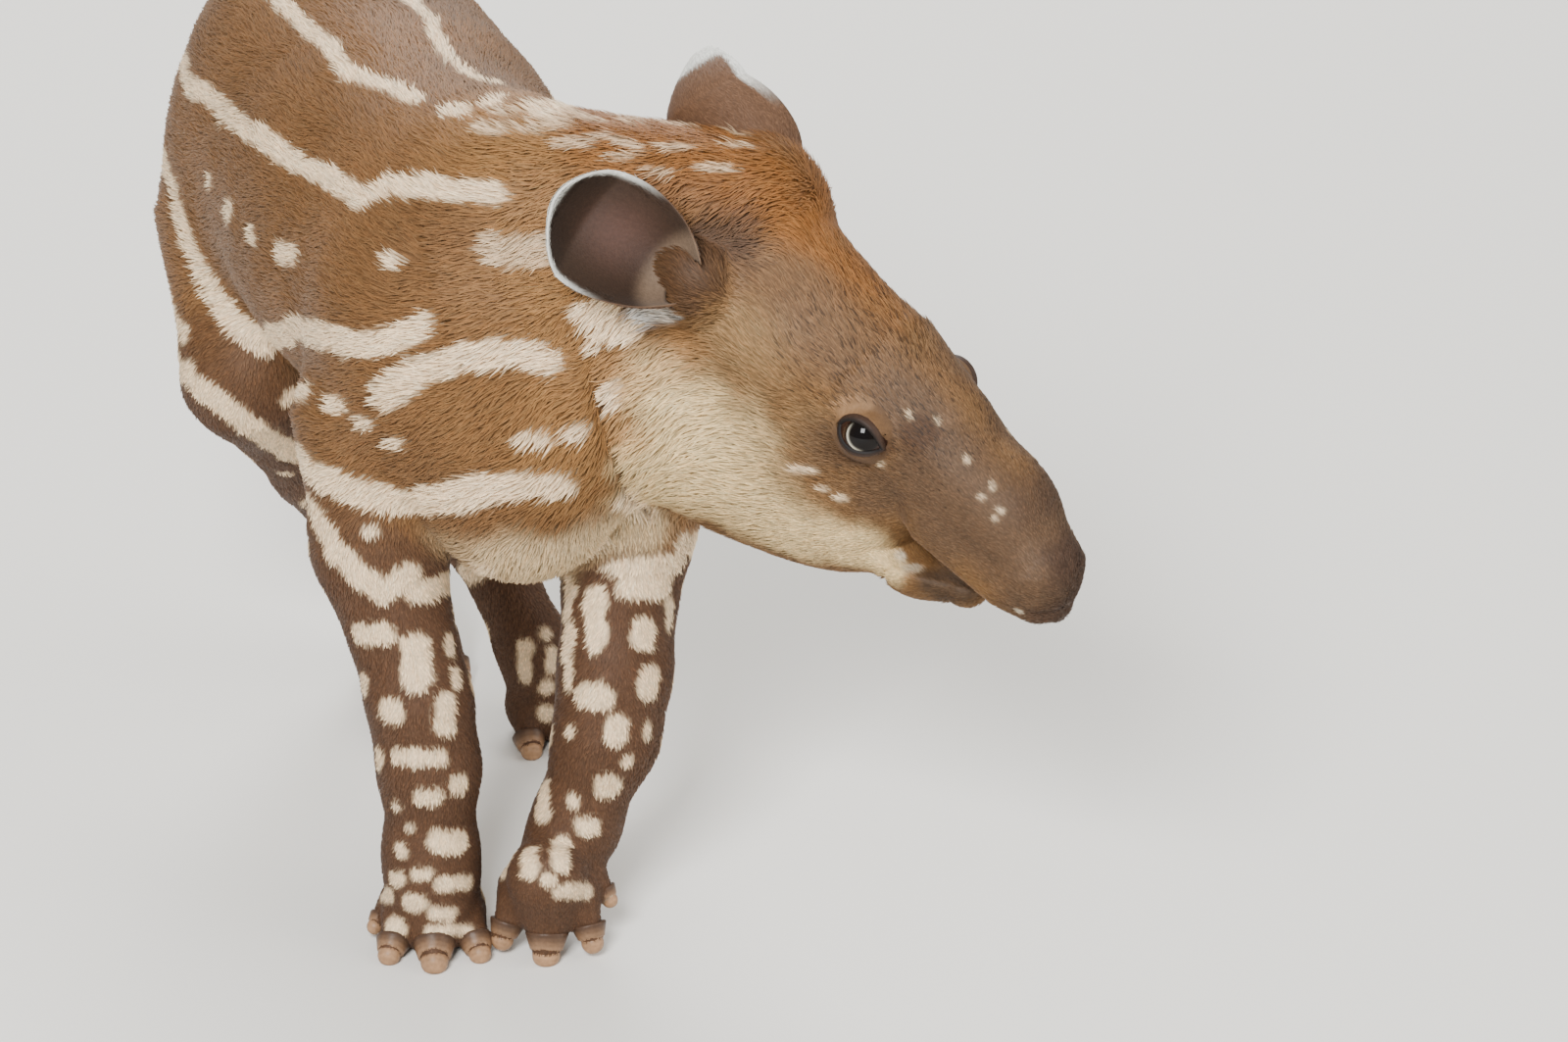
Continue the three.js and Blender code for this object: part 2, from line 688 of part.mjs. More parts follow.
const jaw = solid(meshField(jawField, headAt(50, 0, -45).subScalar(70),
  headAt(50, 0, -45).addScalar(70), CELL.jaw))
  .intersect(beyond(shift(jawBackPoint, jawForward, GAP), jawForward))
  .intersect(beyond(shift(mouthPoint, mouthUp, -GAP), mouthUp.clone().negate()));
addSolid("lower_jaw", jaw, DARK_COAT);

// Ears: a rolled base that opens into a round cup.
function earGeometry(root, along, open, length, halfWidth) {
  const side = along.clone().cross(open).normalize();
  const face = side.clone().cross(along).normalize();
  const rows = 11;
  const columns = 10;
  const points = [];
  for (const layer of [0, 1]) {
    for (let i = 0; i <= rows; i += 1) {
      const s = i / rows;
      const width = halfWidth * (0.42 + 0.58 * Math.sin(Math.PI * Math.min(s * 0.86 + 0.02, 1)))
        * Math.sqrt(Math.max(1 - Math.max(0, (s - 0.42) / 0.6) ** 2.3, 0.03));
      const roll = rad(128 - 78 * Math.min(s * 1.6, 1) ** 0.8);
      const radius = width / Math.sin(Math.min(roll, Math.PI / 2));
      for (let j = 0; j <= columns; j += 1) {
        const t = (2 * j) / columns - 1;
        const rim = 1 - 0.6 * Math.max(Math.abs(t), s) ** 6;
        const r = radius - layer * EAR_WALL * rim;
        const angle = roll * t;
        const bow = 5 * Math.sin(Math.PI * s);
        const p = root.clone().addScaledVector(along, s * length - layer * EAR_WALL * 0.35 * s ** 8);
        p.addScaledVector(side, r * Math.sin(angle));
        p.addScaledVector(face, width * 0.55 - r * Math.cos(angle) - bow);
        points.push(p);
      }
    }
  }
  const stride = columns + 1;
  const layerSize = (rows + 1) * stride;
  const faces = [];
  const quad = (a, b, c, d) => faces.push(a, b, c, a, c, d);
  for (let i = 0; i < rows; i += 1) {
    for (let j = 0; j < columns; j += 1) {
      const a = i * stride + j;
      quad(a, a + stride, a + stride + 1, a + 1);
      const b = a + layerSize;
      quad(b, b + 1, b + stride + 1, b + stride);
    }
  }
  const rim = [];
  for (let j = 0; j <= columns; j += 1) rim.push(j);
  for (let i = 1; i <= rows; i += 1) rim.push(i * stride + columns);
  for (let j = columns - 1; j >= 0; j -= 1) rim.push(rows * stride + j);
  for (let i = rows - 1; i >= 1; i -= 1) rim.push(i * stride);
  for (let n = 0; n < rim.length; n += 1) {
    const a = rim[n];
    const b = rim[(n + 1) % rim.length];
    quad(a, b, b + layerSize, a + layerSize);
  }
  const geometry = new THREE.BufferGeometry();
  const flat = points.flatMap((p) => [p.x, p.y, p.z]);
  geometry.setAttribute("position", new THREE.Float32BufferAttribute(flat, 3));
  geometry.setIndex(faces);
  return geometry;
}

const EAR_POSE = {
  right: { root: headAt(-101, -52, 5), along: headDir(-0.76, -0.55, 0.36),
    open: headDir(0.1, -0.64, 0.76) },
  left: { root: headAt(-116, 22, 18), along: headDir(-0.93, 0.3, 0.14),
    open: headDir(0.3, 0.9, 0.25) },
};
const swollen = (p) => skullField(p) - 1.5;
const skin = solid(meshField(swollen, V(0, -300, 130), headHigh, CELL.head));
for (const [name, pose] of Object.entries(EAR_POSE)) {
  const geometry = earGeometry(pose.root, pose.along.normalize(), pose.open.normalize(),
    EAR_LENGTH, EAR_HALF_WIDTH);
  let ear = solid(geometry);
  if (ear.volume() < 0) throw new Error("ear is inside out");
  ear = ear.subtract(skin);
  addSolid(`ear_${name}`, ear, DARK_COAT);
}

// Legs, feet and hooves
for (const [leg, joints] of Object.entries(LIMBS)) {
  const fore = leg.includes("fore");
  const foot = FEET[FOOT_OF[leg]];
  const field = join([...TORSO, ...joints, ...footMasses(foot)]);
  const [a, b] = LEG_BOX[leg];
  const top = legTops[leg];
  const knee = fore ? WRIST_CUT : HOCK_CUT;
  const ankle = fore ? FORE_FOOT_CUT : HIND_FOOT_CUT;
  const low = V(a.x - 5, a.y - 5, ankle - 12);
  const high = V(b.x + 5, b.y + 5, top + 14);
  const whole = solid(meshField(field, low, high, CELL.limb));
  addSolid(`${leg}_upper`, whole.intersect(legBlock(leg, knee + GAP / 2, top)), COAT);
  addSolid(`${leg}_lower`, whole.intersect(legBlock(leg, ankle + GAP / 2, knee - GAP / 2)), COAT);

  let paw = solid(meshField(field, V(a.x - 5, a.y - 5, -12), V(b.x + 5, b.y + 5, ankle + 12),
    CELL.foot)).intersect(legBlock(leg, FLOOR, ankle - GAP / 2));
  const hoofs = [];
  for (const toe of toeList(foot)) {
    const { dir, root } = toeSetup(foot, toe);
    const centre = root.clone().add(dir(toe.reach * 0.8, 0, -toe.half * 0.4));
    const hoof = taper(root.clone(), root.clone().add(dir(toe.reach, 0, -toe.half * 0.62)),
      toe.half + 0.6, toe.half * 0.62, 4);
    const edge = dir(0.86, 0, -0.5).normalize();
    const edgePoint = root.clone().add(dir(toe.reach * 0.3, 0, 0));
    const reach = toe.half + toe.reach + 8;
    const horn = solid(meshField((p) => hoof.at(p), centre.clone().subScalar(reach),
      centre.clone().addScalar(reach), CELL.hoof))
      .intersect(beyond(shift(edgePoint, edge, GAP), edge, 60))
      .intersect(floorUp);
    paw = paw.subtract(solid(meshField((p) => hoof.at(p) - 5 * GAP, centre.clone().subScalar(reach),
      centre.clone().addScalar(reach), CELL.hoof)).intersect(beyond(edgePoint, edge, 60)));
    hoofs.push([toe.name, horn]);
  }
  const footName = FOOT_OF[leg];
  addSolid(footName, paw, COAT);
  for (const [toeName, horn] of hoofs) addSolid(`${footName}_hoof_${toeName}`, horn, HORN, 0.5);
}

// Centre the footprint on the origin with the soles at zero.
const bounds = new THREE.Box3().setFromObject(group);
const middle = bounds.getCenter(V(0, 0, 0));
for (const mesh of group.children) {
  mesh.geometry.translate(-middle.x, -middle.y, -bounds.min.z);
}

export default group;
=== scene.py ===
"""Looks of a young lowland tapir, life size, standing with its head lowered and turned left.

The flesh is one smooth skin over a body of eggs and tapers. Their sizes were fitted to the
photo after the solids were built, so the skin parts from the solids in places, most of all
under the breast. Short hair covers it in small mesh tufts that follow the lie of the coat.
Sizes are in millimetres in the animal's own frame: it faces -Y, its left side is +X, +Z is up.
"""

import math

import bpy
import numpy as np
from bpy.props import FloatProperty, FloatVectorProperty, IntProperty, PointerProperty
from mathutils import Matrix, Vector
from mathutils.bvhtree import BVHTree


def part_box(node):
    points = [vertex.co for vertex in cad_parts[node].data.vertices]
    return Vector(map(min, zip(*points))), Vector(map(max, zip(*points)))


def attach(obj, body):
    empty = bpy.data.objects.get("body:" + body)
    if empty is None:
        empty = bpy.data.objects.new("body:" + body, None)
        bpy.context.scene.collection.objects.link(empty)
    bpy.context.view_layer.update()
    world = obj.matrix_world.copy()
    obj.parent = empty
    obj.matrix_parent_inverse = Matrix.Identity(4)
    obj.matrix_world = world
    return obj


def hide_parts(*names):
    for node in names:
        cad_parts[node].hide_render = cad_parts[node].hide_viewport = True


bl_info = {
    "name": "Young lowland tapir",
    "version": (1, 0, 0),
    "blender": (4, 5, 0),
    "location": "View3D > Sidebar > Tapir",
    "description": "Skin, coat, eyes, ears, hooves and stage of a young lowland tapir",
    "category": "Object",
}

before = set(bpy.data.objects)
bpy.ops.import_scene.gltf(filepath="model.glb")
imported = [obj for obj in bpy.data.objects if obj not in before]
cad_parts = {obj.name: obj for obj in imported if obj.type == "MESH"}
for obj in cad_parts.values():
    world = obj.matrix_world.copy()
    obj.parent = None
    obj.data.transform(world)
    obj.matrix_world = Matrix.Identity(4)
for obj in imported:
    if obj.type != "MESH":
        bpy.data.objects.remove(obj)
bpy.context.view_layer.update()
TRUNK_NODES = [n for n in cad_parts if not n.startswith(("ear_", "eye_")) and "hoof" not in n]


# Small helpers


def linear(code):
    """sRGB hex to linear RGB."""
    parts = [int(code[i:i + 2], 16) / 255 for i in (0, 2, 4)]
    return tuple(c / 12.92 if c <= 0.04045 else ((c + 0.055) / 1.055) ** 2.4 for c in parts)


def vec(*v):
    return np.array(v, float)


def unit(v):
    v = np.asarray(v, float)
    return v / np.maximum(np.linalg.norm(v, axis=-1, keepdims=True), 1e-9)


def step(low, high, x):
    """0 below low, 1 above high, smooth between."""
    t = np.clip((x - low) / (high - low), 0, 1)
    return t * t * (3 - 2 * t)


def blend_min(a, b, k):
    """The nearer of two distances, with a fillet about k wide."""
    h = np.clip(0.5 + (0.5 * (b - a)) / k, 0, 1)
    return b + (a - b) * h - k * h * (1 - h)


def blend_max(a, b, k):
    return -blend_min(-a, -b, k)


def turn_matrix(turn=0.0, dip=0.0):
    """Turn about Z after a dip about X, in degrees."""
    c, s = math.cos(math.radians(turn)), math.sin(math.radians(turn))
    z = np.array([[c, -s, 0], [s, c, 0], [0, 0, 1]])
    c, s = math.cos(math.radians(dip)), math.sin(math.radians(dip))
    return z @ np.array([[1, 0, 0], [0, c, -s], [0, s, c]])


def inside_box(p, low, high, pad):
    """Numbers of the points in a box that is pad larger on every side."""
    return np.flatnonzero(((p > low - pad) & (p < high + pad)).all(1))


def gap_to(p, line):
    """Distance from each point to the nearest point of a line."""
    return np.sqrt(((p[:, None] - line[None]) ** 2).sum(2).min(1))


class Noise:
    """Smooth repeating noise from one seeded table, between 0 and 1."""

    def __init__(self, seed):
        self.table = np.random.default_rng(seed).random((32, 32, 32)).astype(np.float32)

    def at(self, p, size):
        q = np.asarray(p) / size + 1000.0
        cell = np.floor(q).astype(int)
        f = (q - cell).astype(np.float32)
        f = f * f * (3 - 2 * f)
        out = np.zeros(len(q), np.float32)
        for corner in range(8):
            bits = [(corner >> a) & 1 for a in range(3)]
            w = np.ones(len(q), np.float32)
            for a in range(3):
                w *= f[:, a] if bits[a] else 1 - f[:, a]
            ids = [(cell[:, a] + bits[a]) % 32 for a in range(3)]
            out += w * self.table[ids[0], ids[1], ids[2]]
        return out


NOISE = [Noise(seed) for seed in (11, 12, 13, 14)]


# Masses of the body, joined smoothly in order


class Egg:
    """Distance to an ellipsoid; k is how softly it joins what came before."""

    def __init__(self, centre, half, turn=None, k=18.0):
        self.centre, self.half, self.turn, self.k = vec(*centre), vec(*half), turn, k
        reach = self.half.max() if turn is not None else self.half
        self.low, self.high = self.centre - reach, self.centre + reach

    def at(self, p):
        q = p - self.centre.astype(p.dtype)
        if self.turn is not None:
            q = q @ self.turn.astype(p.dtype)
        a = q / self.half.astype(p.dtype)
        k0 = np.sqrt((a * a).sum(-1))
        b = a / self.half.astype(p.dtype)
        k1 = np.sqrt((b * b).sum(-1))
        return k0 * (k0 - 1) / np.maximum(k1, 1e-6)


class Taper:
    """Distance to a cone with round ends, from radius ra to radius rb."""

    def __init__(self, a, b, ra, rb, k=12.0):
        self.a, b = vec(*a), vec(*b)
        self.ra, self.rb, self.k = ra, rb, k
        self.length = np.linalg.norm(b - self.a)
        self.axis = (b - self.a) / self.length
        self.sine = (ra - rb) / self.length
        self.cosine = math.sqrt(1 - self.sine ** 2)
        reach = max(ra, rb)
        self.low, self.high = np.minimum(self.a, b) - reach, np.maximum(self.a, b) + reach

    def at(self, p):
        q = p - self.a.astype(p.dtype)
        along = q @ self.axis.astype(p.dtype)
        off = np.sqrt(np.maximum((q * q).sum(-1) - along * along, 0))
        t = along + off * (self.sine / self.cosine)
        side = off * self.cosine + along * self.sine - self.ra
        near = np.hypot(along, off) - self.ra
        far = np.hypot(along - self.length, off) - self.rb
        return np.where(t <= 0, near, np.where(t >= self.length, far, side))


HEAD_CENTRE = vec(163.5, -152.8, 272.5)
HEAD_TURN = turn_matrix(32.2, 32.9)
EYE_RADIUS = 12.0
EYE_SIDE = 29.5
LID_RADIUS = 13.2
LID_TILT = math.radians(18)
LID_SLANT = math.radians(24)


def head_dir(forward, left, up):
    return HEAD_TURN @ vec(left, -forward, up)


def head_at(forward, left, up):
    return head_dir(forward, left, up) + HEAD_CENTRE


def head_egg(forward, left, up, half, k):
    return Egg(head_at(forward, left, up), (half[1], half[0], half[2]), HEAD_TURN, k)


def head_axes(p):
    """Forward, left and up of points, measured from between the eyes."""
    q = (p - HEAD_CENTRE) @ HEAD_TURN
    return -q[..., 1], q[..., 0], q[..., 2]


TORSO = [
    Egg((9, 96, 286), (82, 152, 96), None, 20),
    Egg((16, -8, 287), (66, 76, 92), None, 30),
    Egg((6, 182, 290), (74, 90, 90), None, 30),
    Egg((22, -48, 262), (48, 44, 62), None, 25),
    Egg((-28, -18, 262), (34, 46, 72), None, 22),
    Egg((60, -22, 262), (32, 46, 72), None, 22),
    Egg((18, -58, 216), (46, 38, 48), None, 24),
    Egg((-40, 188, 248), (34, 56, 66), None, 22),
    Egg((50, 182, 248), (34, 58, 66), None, 22),
]
NECK = [
    Taper((24, -28, 290), head_at(-110, 2, -10), 57, 36, 26),
    Taper((38, -32, 336), head_at(-114, 6, 12), 44, 30, 22),
    Taper((48, -60, 256), head_at(-66, 0, -58), 48, 44, 24),
]
SKULL = [
    head_egg(-60, -2, -17, (72, 42, 47), 20),
    head_egg(-28, 0, -57, (62, 42, 47), 22),
    head_egg(-56, -2, -78, (56, 45, 46), 24),
    head_egg(-101, -43, -3, (20, 15, 19), 12),
    head_egg(-109, 25, 7, (20, 15, 17), 12),
    Taper(head_at(-14, 0, -4), head_at(64, 0, 1), 34.5, 22, 16),
    Taper(head_at(-70, 0, 18), head_at(20, 0, 19), 14, 10.5, 14),
]
SNOUT = [
    Taper(head_at(59, 0, 2), head_at(90, 0, -6), 22, 18, 10),
    Taper(head_at(90, 0, -7), head_at(100, 0, -21), 17.8, 14.5, 8),
    Taper(head_at(44, -9, -19), head_at(84, -7, -20), 17, 12.5, 8),
    Taper(head_at(44, 9, -19), head_at(84, 7, -20), 17, 12.5, 8),
]
JAW = [
    Taper(head_at(-6, 0, -52), head_at(46, 0, -53), 31, 18, 14),
    Taper(head_at(46, 0, -52), head_at(69, 0, -45), 17.5, 11.5, 10),
]
LEG_JOINTS = {
    "right_foreleg": [(-36, -8, 232, 38), (-42, -26, 180, 30), (-34, -58, 112, 23),
                      (-33, -66, 84, 22), (-35, -72, 40, 20.5), (-36, -76, 22, 20)],
    "left_foreleg": [(64, -20, 232, 36), (70, -42, 180, 32), (54, -72, 118, 25),
                     (47, -80, 92, 23), (30, -84, 50, 19), (20, -86, 34, 18)],
    "right_hindleg": [(-36, 188, 240, 44), (-50, 146, 186, 33), (-12, 182, 112, 20),
                      (2, 190, 92, 18.5), (24, 176, 40, 16.5), (29, 170, 22, 18)],
    "left_hindleg": [(46, 180, 238, 42), (60, 120, 186, 32), (54, 128, 112, 21),
                     (54, 128, 92, 18.5), (70, 98, 40, 16.5), (74, 90, 22, 18)],
}
LIMBS = {
    name: [Taper(a[:3], b[:3], a[3], b[3], 12) for a, b in zip(joints, joints[1:])]
    for name, joints in LEG_JOINTS.items()
}
# place of the sole, heading, tip onto the toes, number of toes, outer side
FEET = {
    "right_forefoot": ((-36, -78, 0), -18, 0, 4, -1),
    "left_forefoot": ((17, -88, 0), -24, 34, 4, 1),
    "right_hindfoot": ((30, 166, 0), -8, 0, 3, -1),
    "left_hindfoot": ((76, 86, 0), 6, 0, 3, 1),
}
# toe: forward, out, half width, reach, splay, lift
TOES = {
    "middle": (13, 0, 10.2, 13, 0, 0),
    "inner": (8, -17.5, 8.4, 11, -16, 0),
    "outer": (8, 17.5, 8.4, 11, 16, 0),
    "side": (-8, 22.5, 6, 8, 36, 4),
}
TAIL = [Taper((5, 262, 308), (7, 290, 266), 12, 7.5, 10)]


def foot_frame(foot):
    """A function from forward, out and up on the foot to a place, and the foot's turn."""
    at, heading, tip, _, side = FEET[foot]
    turn, dip = turn_matrix(heading), turn_matrix(0, tip)
    pivot = vec(0, -26, 0)
    place = lambda f, o, u: turn @ (dip @ (vec(o * side, -f, u) - pivot) + pivot) + vec(*at)
    return place, turn @ dip, side


def toe_frame(foot, toe):
    """A function from forward, out and up on the toe to a direction, and the toe's root."""
    forward, out, half, _, splay, lift = TOES[toe]
    place, whole, side = foot_frame(foot)
    turn = whole @ turn_matrix(splay * side)
    aim = lambda f, o, u: turn @ vec(o * side, -f, u)
    return aim, place(forward, out, half + lift)


def toes_of(foot):
    return list(TOES)[:FEET[foot][3]]


def foot_masses(foot):
    """Pastern, pad and toes of one foot."""
    place = foot_frame(foot)[0]
    parts = [Taper(place(-2, 0, 27), place(2, 0, 14), 19, 18.5, 8),
             Taper(place(-4, -8, 11), place(-4, 9, 11), 14, 14, 8)]
    for toe in toes_of(foot):
        half, reach = TOES[toe][2:4]
        aim, root = toe_frame(foot, toe)
        parts.append(Taper(root + aim(-reach, 0, 8), root + aim(reach * 0.8, 0, -half * 0.4),
                           half * 1.02, half * 0.72, 5))
    return parts


ALL_LIMBS = [m for parts in LIMBS.values() for m in parts]
ALL_FEET = [m for foot in FEET for m in foot_masses(foot)]
UPPER = TORSO + NECK + ALL_LIMBS + ALL_FEET + TAIL + SKULL + SNOUT
LOWER = SKULL[1:2] + JAW
# a distance that counts as clear of the body, and the gap that a blend can reach across
FAR = 60.0
REACH = 42.0

MOUTH_CORNER = head_at(47, 0, -51)
MOUTH_UP = unit(head_dir(-0.47, 0, 1))
EYES = {side: head_at(0, side * EYE_SIDE, 0) for side in (-1, 1)}
HOLLOWS = [Egg(head_at(31, side * 39, 2), (9, 17, 12), HEAD_TURN) for side in (-1, 1)]
NOSTRILS = [Egg(head_at(113, side * 6.2, -23), (3, 7, 4.6), HEAD_TURN) for side in (-1, 1)]


def masses_at(p, masses, pad=REACH):
    """Masses joined in order. Each one works only on the points near it."""
    d = np.full(len(p), FAR, p.dtype)
    for m in masses:
        near = inside_box(p, m.low, m.high, pad)
        d[near] = blend_min(d[near], m.at(p[near]), m.k)
    return d


def lid_axes(side):
    """Forward, out and up of the opening between the lids, which faces a little upward."""
    c, u = math.cos(LID_TILT), math.sin(LID_TILT)
    ahead, over = head_dir(1, 0, 0), head_dir(0, -side * u, c)
    c2, u2 = math.cos(LID_SLANT), math.sin(LID_SLANT)
    return ahead * c2 + over * u2, head_dir(0, side * c, u), over * c2 - ahead * u2


def lid_opening(side, p, grow):
    """Flat distance to the almond between the lids, and depth out of the head."""
    ahead, out_way, over = lid_axes(side)
    q = p - EYES[side]
    x, y, out = q @ ahead - 0.2, q @ over + 0.1, q @ out_way
    flat = np.abs(y) + 0.050 * x * x - 5.9 - grow
    return flat / np.sqrt(1 + (0.100 * x) ** 2), out


def shape(p, upper, lower):
    """Finish the body's distance with the mouth, hollows, lids, sockets and nostrils."""
    forward, left, up = head_axes(p)
    above = (p - MOUTH_CORNER) @ MOUTH_UP
    whole = blend_min(upper, lower, 14)
    parted = np.minimum(blend_max(upper, 0.5 - above, 3.5), blend_max(lower, above + 0.6, 3))
    ahead = step(22, 47, forward) * step(-96, -84, up)
    d = whole * (1 - ahead) + parted * ahead
    head = np.flatnonzero((np.abs(forward) < 140) & (np.abs(left) < 60) & (np.abs(up) < 60))
    q, part = p[head], d[head]
    for hollow in HOLLOWS:
        part = blend_max(part, -hollow.at(q), 9)
    for side, eye in EYES.items():
        reach = np.linalg.norm(q - eye, axis=-1)
        part = blend_min(part, np.minimum(reach, 60) - LID_RADIUS, 5)
        flat, out = lid_opening(side, q, 1.0)
        part = blend_max(part, -np.maximum(flat, 3 - out), 0.8)
    for pit in NOSTRILS:
        part = blend_max(part, -pit.at(q), 1.6)
    d[head] = part
    return np.maximum(d, 0.4 - p[:, 2])


def depth_of_coat(p):
    """How far the skin lies under the tips of the hair: least on the face and the feet."""
    forward, _, up = head_axes(p)
    face = step(-70, 10, forward) * step(-110, -80, up)
    low = 1 - step(40, 150, p[:, 2])
    return 2.1 - 1.4 * np.maximum(face, 0.75 * low) - 0.4 * step(60, 100, forward) * face


def body(p):
    """Distance to the bare skin."""
    return shape(p, masses_at(p, UPPER), masses_at(p, LOWER)) + depth_of_coat(p)


def grid_masses(axes, masses, pad=REACH):
    value = np.full([len(a) for a in axes], FAR, np.float32)
    for m in masses:
        cut = [slice(*np.searchsorted(a, (m.low[i] - pad, m.high[i] + pad)))
               for i, a in enumerate(axes)]
        near = [a[c] for a, c in zip(axes, cut)]
        if min(len(a) for a in near) == 0:
            continue
        p = np.stack(np.meshgrid(*near, indexing="ij"), -1).astype(np.float32)
        value[tuple(cut)] = blend_min(value[tuple(cut)], m.at(p), m.k)
    return value


def surface_nets(value, axes):
    """Corners and quads of the zero surface: one corner in each cell that it crosses."""
    inside = value < 0
    dims = np.array(value.shape)
    keys, points, quads = [], [], []
    for a in range(3):
        b, c = (a + 1) % 3, (a + 2) % 3
        one = [slice(None)] * 3
        two = [slice(None)] * 3
        one[a], two[a] = slice(None, -1), slice(1, None)
        cross = np.argwhere(inside[tuple(one)] != inside[tuple(two)])
        cross = cross[(cross[:, b] > 0) & (cross[:, c] > 0)
                      & (cross[:, b] < dims[b] - 1) & (cross[:, c] < dims[c] - 1)]
        nxt = cross.copy()
        nxt[:, a] += 1
        va, vb = value[tuple(cross.T)], value[tuple(nxt.T)]
        t = va / (va - vb)
        p = np.stack([axes[i][cross[:, i]] for i in range(3)], 1)
        p[:, a] += t * (axes[a][nxt[:, a]] - axes[a][cross[:, a]])
        ring = []
        for db, dc in ((-1, -1), (0, -1), (0, 0), (-1, 0)):
            cell = cross.copy()
            cell[:, b] += db
            cell[:, c] += dc
            key = (cell[:, 0] * dims[1] + cell[:, 1]) * dims[2] + cell[:, 2]
            keys.append(key)
            points.append(p)
            ring.append(key)
        ring = np.stack(ring, 1)
        flip = ~inside[tuple(cross.T)]
        ring[flip] = ring[flip][:, ::-1]
        quads.append(ring)
    keys, points, quads = np.concatenate(keys), np.concatenate(points), np.concatenate(quads)
    cells, owner = np.unique(keys, return_inverse=True)
    count = np.bincount(owner)
    corners = np.stack([np.bincount(owner, points[:, i]) / count for i in range(3)], 1)
    return corners, np.searchsorted(cells, quads)


def settle(p, turns=3, span=2.0):
    """Move points onto the body's surface along the steepest way."""
    start = p.copy()
    h = 0.05
    for _ in range(turns):
        d = body(p)
        slope = np.stack([(body(p + h * e) - d) / h for e in np.eye(3)], 1)
        steep = np.maximum((slope ** 2).sum(1), 0.05)
        p = p - slope * (d / steep)[:, None]
        far = np.linalg.norm(p - start, axis=1)
        back = far > span
        p[back] = start[back] + (p[back] - start[back]) * (span / far[back])[:, None]
    return p


def ramp_axis(low, high, fine_low, fine_high, coarse, fine):
    """Grid places along one axis, closer together where the head is."""
    parts = [np.arange(low, fine_low, coarse), np.arange(fine_low, fine_high, fine),
             np.arange(fine_high, high, coarse)]
    return np.concatenate(parts)


# Meshes


EYE_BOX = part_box("eye_right")
SHIFT = EYES[-1] - 500.0 * (vec(*EYE_BOX[0]) + vec(*EYE_BOX[1]))


def place(p):
    """Millimetres of the animal to metres of the frame."""
    return (np.asarray(p) - SHIFT) / 1000.0


def make_mesh(name, corners, faces, smooth=True):
    """faces: arrays of corner numbers, each array with its own count of sides."""
    mesh = bpy.data.meshes.new(name)
    faces = [np.asarray(f, np.int32) for f in faces if len(f)]
    mesh.vertices.add(len(corners))
    mesh.vertices.foreach_set("co", place(corners).astype(np.float32).ravel())
    loops = np.concatenate([f.ravel() for f in faces])
    sides = np.concatenate([np.full(len(f), f.shape[1], np.int32) for f in faces])
    mesh.loops.add(len(loops))
    mesh.loops.foreach_set("vertex_index", loops)
    mesh.polygons.add(len(sides))
    mesh.polygons.foreach_set("loop_start", np.concatenate([[0], np.cumsum(sides)[:-1]]).astype(np.int32))
    mesh.polygons.foreach_set("use_smooth", np.full(len(sides), smooth))
    mesh.update(calc_edges=True)
    mesh.validate()
    thing = bpy.data.objects.new(name, mesh)
    bpy.context.scene.collection.objects.link(thing)
    return thing


def set_colours(thing, colours, name="coat_colour"):
    layer = thing.data.color_attributes.new(name, "FLOAT_COLOR", "POINT")
    rgba = np.ones((len(colours), 4), np.float32)
    rgba[:, :3] = colours
    layer.data.foreach_set("color", rgba.ravel())


def sheet(rows, columns, wrap=False):
    """Quads of a grid of corners, closed round its columns if wrap."""
    i, j = np.meshgrid(np.arange(rows - 1), np.arange(columns - (0 if wrap else 1)), indexing="ij")
    i, j = i.ravel(), j.ravel()
    k = (j + 1) % columns
    return np.stack([i * columns + j, i * columns + k, (i + 1) * columns + k, (i + 1) * columns + j], 1)


# Materials


def new_material(name):
    """An empty material, its node tree and its shader."""
    material = bpy.data.materials.new(name)
    material.use_nodes = True
    tree = material.node_tree
    tree.nodes.clear()
    out = tree.nodes.new("ShaderNodeOutputMaterial")
    shader = tree.nodes.new("ShaderNodeBsdfPrincipled")
    tree.links.new(shader.outputs[0], out.inputs[0])
    return material, tree, shader


def node(tree, kind, settings=None, links=None, **values):
    """Add a node: settings are its properties, values its inputs, links its wired inputs."""
    made = tree.nodes.new(kind)
    for key, value in (settings or {}).items():
        setattr(made, key, value)
    for key, value in values.items():
        made.inputs[key.replace("_", " ")].default_value = value
    for key, source in (links or {}).items():
        tree.links.new(source, made.inputs[key])
    return made


def ramp(tree, factor, stops):
    """A colour ramp over factor, and its colour output."""
    made = node(tree, "ShaderNodeValToRGB", links={"Fac": factor})
    table = made.color_ramp
    while len(table.elements) < len(stops):
        table.elements.new(0.5)
    for element, (at, colour) in zip(table.elements, stops):
        element.position = at
        element.color = (*colour, 1)
    return made.outputs["Color"]


def shade_colours(tree, shader, marks, shade):
    """Base colour: the colours stored on the mesh, times a fine pattern of light and dark."""
    mixed = node(tree, "ShaderNodeMix", {"data_type": "RGBA", "blend_type": "MULTIPLY"})
    mixed.inputs[0].default_value = 1.0
    tree.links.new(marks.outputs["Color"], mixed.inputs[6])
    tree.links.new(shade, mixed.inputs[7])
    tree.links.new(mixed.outputs[2], shader.inputs["Base Color"])


def object_place(tree):
    return tree.nodes.new("ShaderNodeTexCoord").outputs["Object"]


